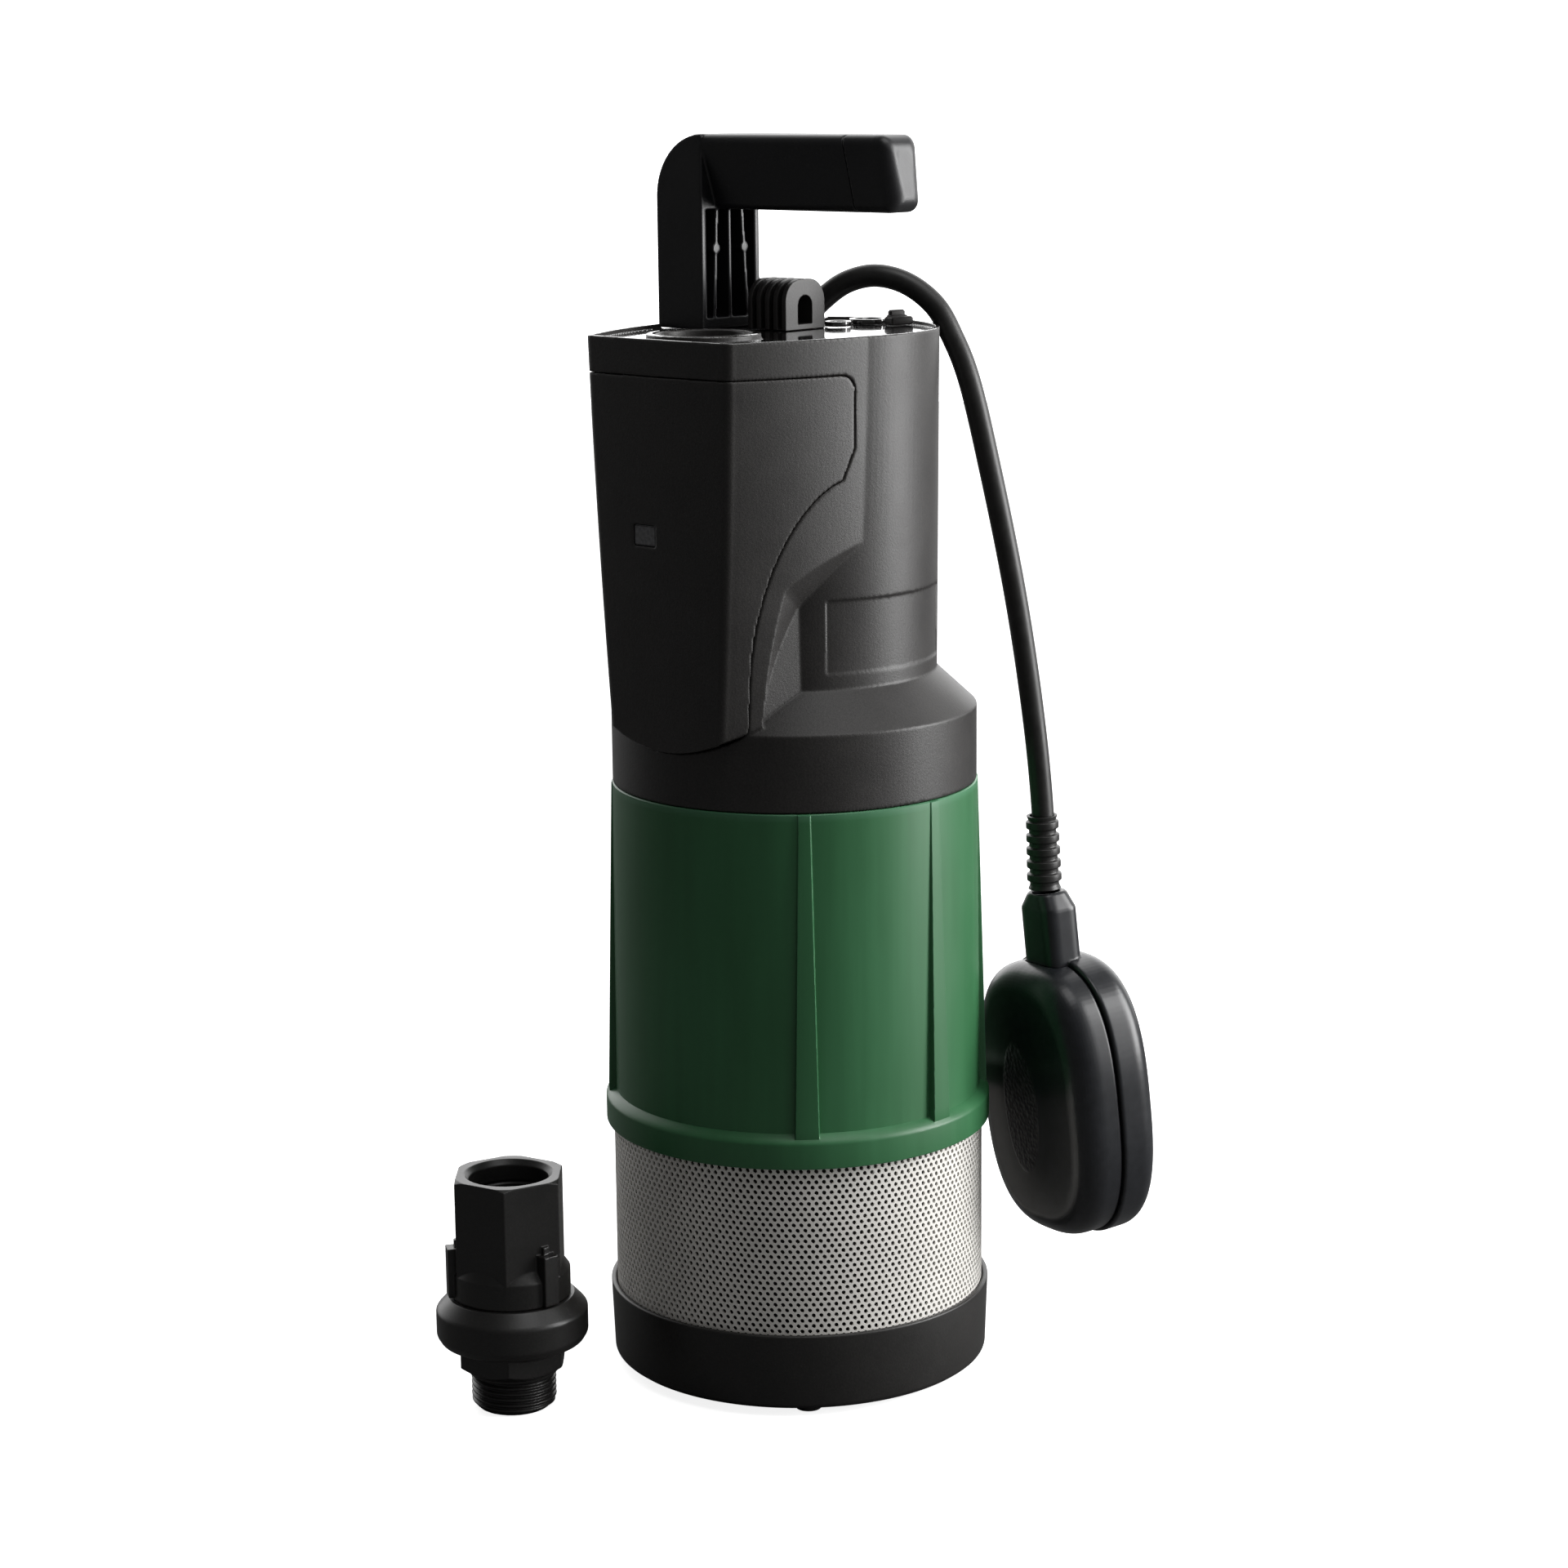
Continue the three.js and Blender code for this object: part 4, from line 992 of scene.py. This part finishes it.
def grip_section(x):
    """Section of the grip: a wide rounded top and a narrower underside."""
    t = clamp((x - COLUMN_FRONT) / (GRIP_END - COLUMN_FRONT))
    top = mix(COLUMN_HALF, 9.4, t)
    foot = mix(9, 8.6, t)
    r = 3.5
    corners = ((foot - r, GRIP_UNDERSIDE + r, -90), (top - r, GRIP_TOP - r, 0),
               (r - top, GRIP_TOP - r, 90), (r - foot, GRIP_UNDERSIDE + r, 180))
    outline = []
    for y, z, start in corners:
        bend = arc(y, z, r, start, start + 90, 8)
        if outline:
            outline += between(outline[-1], bend[0])
        outline += bend
    outline += between(outline[-1], outline[0])
    return [(x, y, z) for y, z in outline]


def between(a, b, steps=8):
    """Points strictly between two points of an outline."""
    return [(mix(a[0], b[0], t), mix(a[1], b[1], t)) for t in stations(0, 1, steps)[1:-1]]


def grip():
    rings = [grip_section(x) for x in stations(COLUMN_FRONT - 6, GRIP_END - 6, 48)]
    foot = GRIP_END - END_ROUND + END_SWELL
    lean = [scaled(z, GRIP_UNDERSIDE, GRIP_TOP, END_LEAN, -END_LEAN) for x, y, z in grip_section(foot)]
    end = [(x + shift, y, z) for (x, y, z), shift in zip(grip_section(foot), lean)]
    middle = (GRIP_UNDERSIDE + GRIP_TOP) / 2
    half_y = max(y for x, y, z in end)
    half_z = (GRIP_TOP - GRIP_UNDERSIDE) / 2
    rings.append(end)
    for t in stations(0, 90, 16)[1:]:
        out = END_ROUND * math.sin(math.radians(t))
        inset = END_ROUND * (1 - math.cos(math.radians(t)))
        share_y = 1 - inset / half_y
        share_z = 1 - inset / half_z
        rings.append([(x + out, y * share_y, mix(middle, z, share_z)) for x, y, z in end])
    return loft("grip", rings)


def seam_wedge(before, shift):
    """Everything before or behind the cap's leaning seam."""
    foot = CAP_SEAM + 2.1 + shift
    top = CAP_SEAM - 2.1 + shift
    far = -70 if before else 80
    outline = [(far, 400), (foot + 4, 400), (foot, GRIP_UNDERSIDE), (top, GRIP_TOP), (top, 500), (far, 500)]
    return prism("wedge", outline, -30, 30, "y")


def handle():
    bend = arc(COLUMN_BACK + BEND_RADIUS, GRIP_TOP - BEND_RADIUS, BEND_RADIUS, 90, 180, 32)
    side = [(COLUMN_FRONT, DECK + GAP), (COLUMN_FRONT, GRIP_TOP), *bend, (COLUMN_BACK, DECK + GAP)]
    column = prism("handle_visual", side, -COLUMN_HALF, COLUMN_HALF, "y")
    channel = box("channel", -51.6, 0, -13.6, 13.6, 416, GRIP_UNDERSIDE)
    cut(column, channel)
    ribs = []
    for top, foot in ((-7, -9), (0, 0), (7, 10)):
        rib_top = GRIP_UNDERSIDE + 1
        outline = [(top - 0.8, rib_top), (foot - 0.8, 415), (foot + 0.8, 415), (top + 0.8, rib_top)]
        ribs.append(prism("rib", outline, -52, COLUMN_FRONT - 0.4, "x"))
    for y in (-7.8, 8.1):
        ribs.append(prism("ejector", arc(y, 442.5, 2.1, 0, 345, 23), -51, COLUMN_FRONT - 0.2, "x"))
    joined(column, *ribs, common(grip(), seam_wedge(True, -GAP / 2)))
    cut(column, box("socket", -10, 60, -TONGUE_HALF, TONGUE_HALF, *TONGUE))
    moulded(column, 0.5, 3)
    finished(column, "handle_plastic")


def handle_end_cap():
    cap = common(grip(), seam_wedge(False, GAP / 2))
    cap.name = "handle_end_cap_visual"
    half = TONGUE_HALF - GAP
    joined(cap, box("tongue", 24, 46, -half, half, TONGUE[0] + GAP, TONGUE[1] - GAP))
    moulded(cap, 0.4, 3)
    finished(cap, "handle_plastic")


# ---- lug, glands, plugs and clip

LUG_Y = 8.7
LUG_HALF = 11.2
LUG_TOP = 431.0
LUG_PITCH = 4.4
LUG_FIN = 2.2


def arch(half, foot, top, corner):
    """Outline of the lug: straight sides and a rounded top."""
    right = arc(LUG_Y + half - corner, top - corner, corner, 0, 90, 12)
    left = arc(LUG_Y - half + corner, top - corner, corner, 90, 180, 12)
    return [(LUG_Y - half, foot), (LUG_Y + half, foot), *right, *left]


def lifting_lug():
    foot = DECK + GAP
    web = arch(LUG_HALF - 3, foot, LUG_TOP - 3, 6.5)
    fin = arch(LUG_HALF, foot, LUG_TOP, 8.5)
    lug = prism("lifting_lug_visual", web, -4 * LUG_PITCH - 1, -1, "x")
    fins = [prism("fin", fin, -LUG_FIN - i * LUG_PITCH, -i * LUG_PITCH, "x")
            for i in range(5)]
    joined(lug, *fins)
    cut(lug, prism("eye", arch(4, foot + 2, foot + 13, 3.9), -30, 5, "x"))
    moulded(lug, 0.32, 2)
    finished(lug, "black_plastic")


def gland(key):
    x, y = GLANDS[key]
    name = key + "_cable_gland"
    nut = prism(name + "_visual", hexagon(15), DECK + GAP, DECK + 3.2)
    cut(nut, drum("hole", CABLE_RADIUS + 1.7, 400, 430, 48))
    rounded(nut, 0.35)
    placed(nut, x, y)
    finished(nut, "black_plastic", look="deck")


def deck_plugs():
    for i, (x, y, radius) in enumerate(((-1, 46.6, 7.4), (-1, 28.8, 5.2))):
        foot = DECK + GAP
        rim = DECK + 2.2
        outline = [(0, foot), (radius, foot), (radius, rim), (radius - 1.4, rim), (radius - 1.9, DECK + 1.2),
                   (0, DECK + 1.2)]
        plug = placed(soft_lathe(f"deck_plug_{i + 1}_visual", outline, 0.4, 3, 72), x, y)
        finished(plug, "black_plastic", look="deck")


def cable_clip():
    x, y, _ = in_cable_plane(42.5, 25.5, 0)
    foot = DECK + GAP
    clip = box("cable_clip_visual", -5, 5, -3, 3, foot, DECK + 3.5)
    joined(clip, box("post", -3.4, 3.4, 0.4, 3, DECK + 2, DECK + 6))
    rounded(clip, 0.5)
    placed(clip, x, y, turn=72.5)
    finished(clip, "black_plastic")


# ---- cables

FLOAT_CABLE = (
    (6.8, 31.4, 398), (6.8, 31.4, 411), (8, 31, 416), (13.5, 28.5, 422.2), (22, 26, 428.3), (33, 23.3, 431),
    (45, 20.7, 428.2), (56.3, 18.4, 419.5), (63.5, 15.8, 406.5), (68.8, 13, 392.8), (77.8, 11, 354.7),
    (88, 10, 303), (95.5, 10, 251), (98.6, 10, 217), (99.3, 10, 198))


def cables():
    path = spline([in_cable_plane(*p) for p in FLOAT_CABLE], 14)
    floating = sweep("float_cable_visual", path, CABLE_RADIUS)
    x, y = GLANDS["power"]
    points = [(x, y, 398), (x, y, 411), (x - 0.5, y, 417), (-46, 27, 427), (-56, 30, 431), (-66, 33, 424),
              (-71, 35.5, 405), (-72, 37, 330), (-72, 37, 240), (-74, 38, 150)]
    power = sweep("power_cable_visual", spline(points, 14), CABLE_RADIUS)
    finished(power, "cable_rubber")

    floating.data.materials.append(MATERIALS["cable_rubber"])
    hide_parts("float_cable")
    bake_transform(floating)


# ---- float switch

FLOAT_HALF = (39.0, 20.0, 57.3)
FLOAT_DROP = -57.5


def hang_axis():
    return Vector((math.sin(CABLE_BEARING), -math.cos(CABLE_BEARING), 0))


def float_place():
    """The float's own frame: x across, y through its thickness, z up its height."""
    return (shift(*in_cable_plane(102.4, 10, 161)) @ Matrix.Rotation(FLOAT_TILT, 4, hang_axis())
            @ shift(0, 0, FLOAT_DROP) @ Matrix.Rotation(FLOAT_TURN, 4, "Z"))


def pillow_ring(y, shrink):
    """Rounded-rectangle ring of the float at depth y, drawn in by shrink millimetres."""
    def bend(v):
        return math.copysign(abs(v) ** (2 / 2.7), v)
    half_x = FLOAT_HALF[0] - shrink
    half_z = FLOAT_HALF[2] - shrink
    angles = [2 * math.pi * i / 120 for i in range(120)]
    return [(bend(math.cos(a)) * half_x, y, bend(math.sin(a)) * half_z) for a in angles]


def remember_place(obj):
    """Keeps each vertex's place in the piece's own frame, where its material reads it."""
    kept = obj.data.attributes.new(OWN_PLACE, "FLOAT_VECTOR", "POINT")
    kept.data.foreach_set("vector", [c for vertex in obj.data.vertices for c in vertex.co])


def pillow(name, side, foot, wall_top, inset, crown):
    """Half of the float: a straight band, a wide round edge and a slightly crowned face."""
    rings = [pillow_ring(side * foot, inset + 0.8), pillow_ring(side * (foot + 0.25), inset + 0.25),
             pillow_ring(side * (foot + 0.9), inset)]
    edge = FLOAT_HALF[1] - wall_top - crown
    for t in stations(0, 90, 14):
        a = math.radians(t)
        outward = side * (wall_top + edge * math.sin(a))
        rings.append(pillow_ring(outward, inset + 11 * (1 - math.cos(a)) ** 1.1))
    for share in (0.35, 0.6, 0.8, 0.95):
        depth = wall_top + edge + crown * math.sin(share * math.pi / 2)
        rings.append(pillow_ring(side * depth, inset + 11 + (FLOAT_HALF[0] - 12.5 - inset) * share))
    return loft(name, rings, 60)


def float_shells():
    front = pillow("float_front_shell_visual", -1, 0.2, 6.5, 1.3, 1.2)
    rear = pillow("float_rear_shell_visual", 1, 0.1, 9.0, 0.0, 1.2)
    low = FLOAT_HALF[2] - 5
    high = FLOAT_HALF[2] + 27
    sections = ((low, 10.8, 8.0), (high - 7, 10.6, 8.0), (high - 6, 10.4, 7.9), (high - 0.6, 7.2, 6.8),
                (high, 6.6, 6.3))
    neck = []
    for z, half_x, half_y in sections:
        corners = [(-half_x, -half_y), (half_x, -half_y), (half_x, half_y), (-half_x, half_y)]
        outline = filleted(corners, 5.5, 10)
        neck.append([(x, y + 0.5, z) for x, y in outline])
    joined(rear, loft("neck", neck))
    cut(rear, drum("bore", CABLE_RADIUS + 1.2, 62, 110, 48))
    clearance = [[(x * 1.05, y * 1.05, z) for x, y, z in ring] for ring in neck[:2]]
    cut(front, loft("neck_room", clearance))
    for shell in (front, rear):
        moulded(shell, 0.5, 2)
        remember_place(shell)
        shell.data.transform(float_place())
        finished(shell, "float_plastic", "float_switch")


def strain_relief():
    """Ribbed boot over the end of the cable."""
    bore = CABLE_RADIUS + 0.5
    outline = [(bore, 0), (6.6, 0)]
    for i in range(5):
        z = 1.6 + i * 5.3
        r = 6.9 - i * 0.1
        outline += [(r - 1.1, z), (r - 1.1, z + 1.5), (r, z + 1.9), (r, z + 4.6), (r - 1.1, z + 5.0)]
    outline += [(6.2, 29.8), (bore, 29.8)]
    boot = lathe("strain_relief_boot_visual", filleted(outline, 0.35, 3), 64)
    tilt = Matrix.Rotation(math.radians(2.5), 4, hang_axis())
    boot.data.transform(shift(*in_cable_plane(99.4, 10, 188.9)) @ tilt)
    finished(boot, "cable_rubber", "float_switch")


# ---- loose adapter

ADAPTER_X = -45.0
ADAPTER_Y = -117.0
ADAPTER_SPLIT = 46.0
ADAPTER_VOXEL = 0.36
THREAD_PITCH = 2.3
HEX_TURN = 12
ADAPTER_TOP = span("adapter_socket")[1].z
THREAD_RADIUS = 16.6


def chamfered_hexagon(across_flats, low, high, side):
    """A hexagonal bar whose corners are turned down to the (radius, z) side."""
    return common(prism("hex", hexagon(across_flats, HEX_TURN), low, high), lathe("hex_cone", side, 96))


def helix_thread(radius, depth, low, turns):
    """A 60-degree screw thread as a ribbed sleeve whose ridge climbs once a turn."""
    sides = 72
    steps = 6
    rows = int(turns * steps)
    rings = []
    for row in range(rows + 1):
        ring = []
        for i in range(sides):
            phase = (row / steps + i / sides) % 1.0
            ridge = 1 - abs(2 * phase - 1)
            fade = clamp(min(row, rows - row) / steps)
            r = radius - depth * (1 - clamp(ridge * 1.5 - 0.2)) - 0.6 * depth * (1 - fade)
            a = 2 * math.pi * i / sides
            ring.append((r * math.cos(a), r * math.sin(a), low + row * THREAD_PITCH / steps))
        rings.append(ring)
    return loft("thread", rings, 60)


def adapter_base():
    base = helix_thread(THREAD_RADIUS, 1.5, 0.8, 6)
    base.name = "adapter_base_visual"
    tip = lathe("tip", [(0, 0), (14.0, 0), (14.8, 1.0), (14.8, 17), (0, 17)], 96)
    outline = [(0, 22.5), (17.5, 22.5), (22.8, 25.6), (27.8, 27.2), (29.5, 30), (29.5, 39.6), (28.9, 40.6),
               (24.4, ADAPTER_SPLIT - 0.6), (0, ADAPTER_SPLIT - 0.6)]
    flange = soft_lathe("flange", outline, 0.8, 4, 160)
    hex_side = [(0, 13), (17.4, 13), (17.4, 15), (24, 19.5), (24, 26), (0, 26)]
    joined(base, tip, flange, chamfered_hexagon(39, 14, 26, hex_side))
    bore = [(0, -1), (12.2, -1), (12.2, 28), (9.6, 28), (9.6, 31), (14.4, 31), (14.4, 50), (0, 50)]
    cut(base, lathe("bore", bore, 96))
    moulded(base, ADAPTER_VOXEL, 2)
    placed(base, ADAPTER_X, ADAPTER_Y)
    finished(base, "black_plastic", "outlet_adapter", look="adapter_plastic")


WING_BEARINGS = (-4, 116, 236)


def adapter_socket():
    step_outline = [(0, ADAPTER_SPLIT - 0.3), (23, ADAPTER_SPLIT - 0.3), (23, 55.6), (20.2, 59.5), (0, 59.5)]
    socket = lathe("adapter_socket_visual", step_outline, 160)
    hex_side = [(0, 50), (24, 50), (24, ADAPTER_TOP - 1.6), (21.2, ADAPTER_TOP), (0, ADAPTER_TOP)]
    wings = []
    for bearing in WING_BEARINGS:
        wing = box("wing", 20, 25, -3.4, 3.4, ADAPTER_SPLIT + 0.3, 66)
        joined(wing, box("web", 17, 22, -1.4, 1.4, ADAPTER_SPLIT + 1, 69))
        wings.append(placed(wing, turn=bearing))
    joined(socket, chamfered_hexagon(40, 52, ADAPTER_TOP, hex_side), *wings)
    bore_side = [(0, 40), (11.5, 40), (11.5, 56), (15.3, 58), (15.3, 92), (17.2, 94), (17.2, 96), (0, 96)]
    cut(socket, lathe("bore", bore_side, 96), helix_thread(16.0, 0.9, 62, 11))
    guide = joined(tube_of("guide", 4.2, 2.2, 50, 54, 0.0, 32), box("arm", 3.4, 12.2, -1, 1, 50, 54),
                   box("arm", -12.2, -3.4, -1, 1, 50, 54))
    joined(socket, guide)
    moulded(socket, ADAPTER_VOXEL, 2)
    placed(socket, ADAPTER_X, ADAPTER_Y)
    finished(socket, "black_plastic", "outlet_adapter", look="adapter_plastic")


# ---- everything else keeps its CAD shape


NODE_LOOKS = {"stage_casing": "casing_steel_painted_shade"}   # the stainless stage casing is painted near-black: painted shade behind the strainer's holes


def dress_cad_nodes():
    """Each CAD node takes the material of its slot in the record, but the stage casing takes near-black steel
    as painted shade.
    """
    for entry in frame["record"]["subparts"]:
        node = frame["nodes"].get(entry["node"])
        if node is None:
            continue
        node.data.materials.clear()
        look = NODE_LOOKS.get(entry["node"], entry["material_slot"])
        node.data.materials.append(MATERIALS[look])
        node.data.shade_smooth()
        node.data.set_sharp_from_angle(angle=math.radians(30))


# ---- stage

FLOOR_GLOW = 0.85
FLOOR_BOUNCE = grey(0.12)
SURROUND_DIM = 0.09
CAMERA_BEARING = math.radians(42.5)
CAMERA_PLACE = (898.6, -986.9, 512.5)
CAMERA_PITCH = math.radians(11.77)
CAMERA_ROLL = math.radians(-0.613)
LENS = 79.53


def stage():
    """Pale floor that looks white to the camera and throws little light back up."""
    floor = loft("floor", [[(x, y, z) for x, y in circle(4000, 36)] for z in (-20, 0)])
    n = new_look("floor_white")
    pale = n.ramp(n.noise(400, 2.0), grey(0.8), grey(0.84))
    seen = n.add("ShaderNodeLightPath").outputs["Is Camera Ray"]
    floor.data.materials.append(n.surfaced(
        Base_Color=n.blend(seen, FLOOR_BOUNCE, pale), Emission_Strength=n.remap(seen, 0.0, FLOOR_GLOW),
        Roughness=0.8, Specular_IOR_Level=0.1, Emission_Color=grey(1)))


def lobe(n, bearing, rise, start, stop, strength):
    """Bright patch of the surround on a bearing from the camera's side, positive to its right."""
    a = CAMERA_BEARING + math.radians(bearing)
    facing = n.add("ShaderNodeVectorMath", operation="DOT_PRODUCT")
    n.feed(facing.inputs[0], n.place)
    n.feed(facing.inputs[1], Vector((math.sin(a), -math.cos(a), rise)).normalized())
    return n.remap(facing.outputs["Value"], SURROUND_DIM, strength, start, stop,
                   interpolation_type="SMOOTHSTEP")


def surround():
    """White to the camera; for the object a backdrop behind it, a bright right side and a dim left front."""
    n = Nodes(bpy.data.worlds.new("studio"), "Background", "Generated")
    brightest = n.add("ShaderNodeLightPath").outputs["Is Camera Ray"]
    for patch in ((180, 0.12, 0.3, 0.95, 2.4), (95, 0.2, 0.3, 0.95, 0.6)):
        brightest = n.maths("MAXIMUM", brightest, lobe(n, *patch))
    bpy.context.scene.world = n.surfaced(Color=grey(1), Strength=brightest)


def soft_box(name, bearing, height, distance, size, power, aim=(0, 0, 250)):
    """An area lamp on a bearing measured from the camera's side, positive to its right."""
    a = CAMERA_BEARING + math.radians(bearing)
    place = Vector((distance * math.sin(a), -distance * math.cos(a), height)) * MM
    lamp = bpy.data.lights.new(name, "AREA")
    lamp.shape = "RECTANGLE"
    lamp.size, lamp.size_y = (s * MM for s in size)
    lamp.energy = power
    obj = linked(name, lamp)
    obj.location = place
    obj.rotation_euler = (Vector(aim) * MM - place).to_track_quat("-Z", "Y").to_euler()


def camera():
    data = bpy.data.cameras.new("camera")
    data.lens = LENS
    data.clip_end = 50
    obj = linked("camera", data)
    turn = (Matrix.Rotation(CAMERA_BEARING, 4, "Z") @ Matrix.Rotation(math.pi / 2 - CAMERA_PITCH, 4, "X")
            @ Matrix.Rotation(CAMERA_ROLL, 4, "Z"))
    obj.matrix_world = Matrix.Translation(Vector(CAMERA_PLACE) * MM) @ turn
    bpy.context.scene.camera = obj


def lights():
    soft_box("key", 86, 520, 1050, (520, 900), 17)
    soft_box("top", 40, 1500, 500, (700, 700), 4)
    bpy.context.scene.view_settings.view_transform = "Standard"


# ---- assembly


dress_cad_nodes()
base_cup()
strainer_sleeve()
outer_jacket()
blank = carved_blank("head_blank")
head_housing(blank)
front_cover(blank)
bpy.data.objects.remove(blank)
status_window()
outlet_insert()
handle()
handle_end_cap()
lifting_lug()
gland("float")
gland("power")
deck_plugs()
cable_clip()
cables()
float_shells()
strain_relief()
adapter_base()
adapter_socket()
stage()
surround()
camera()
lights()
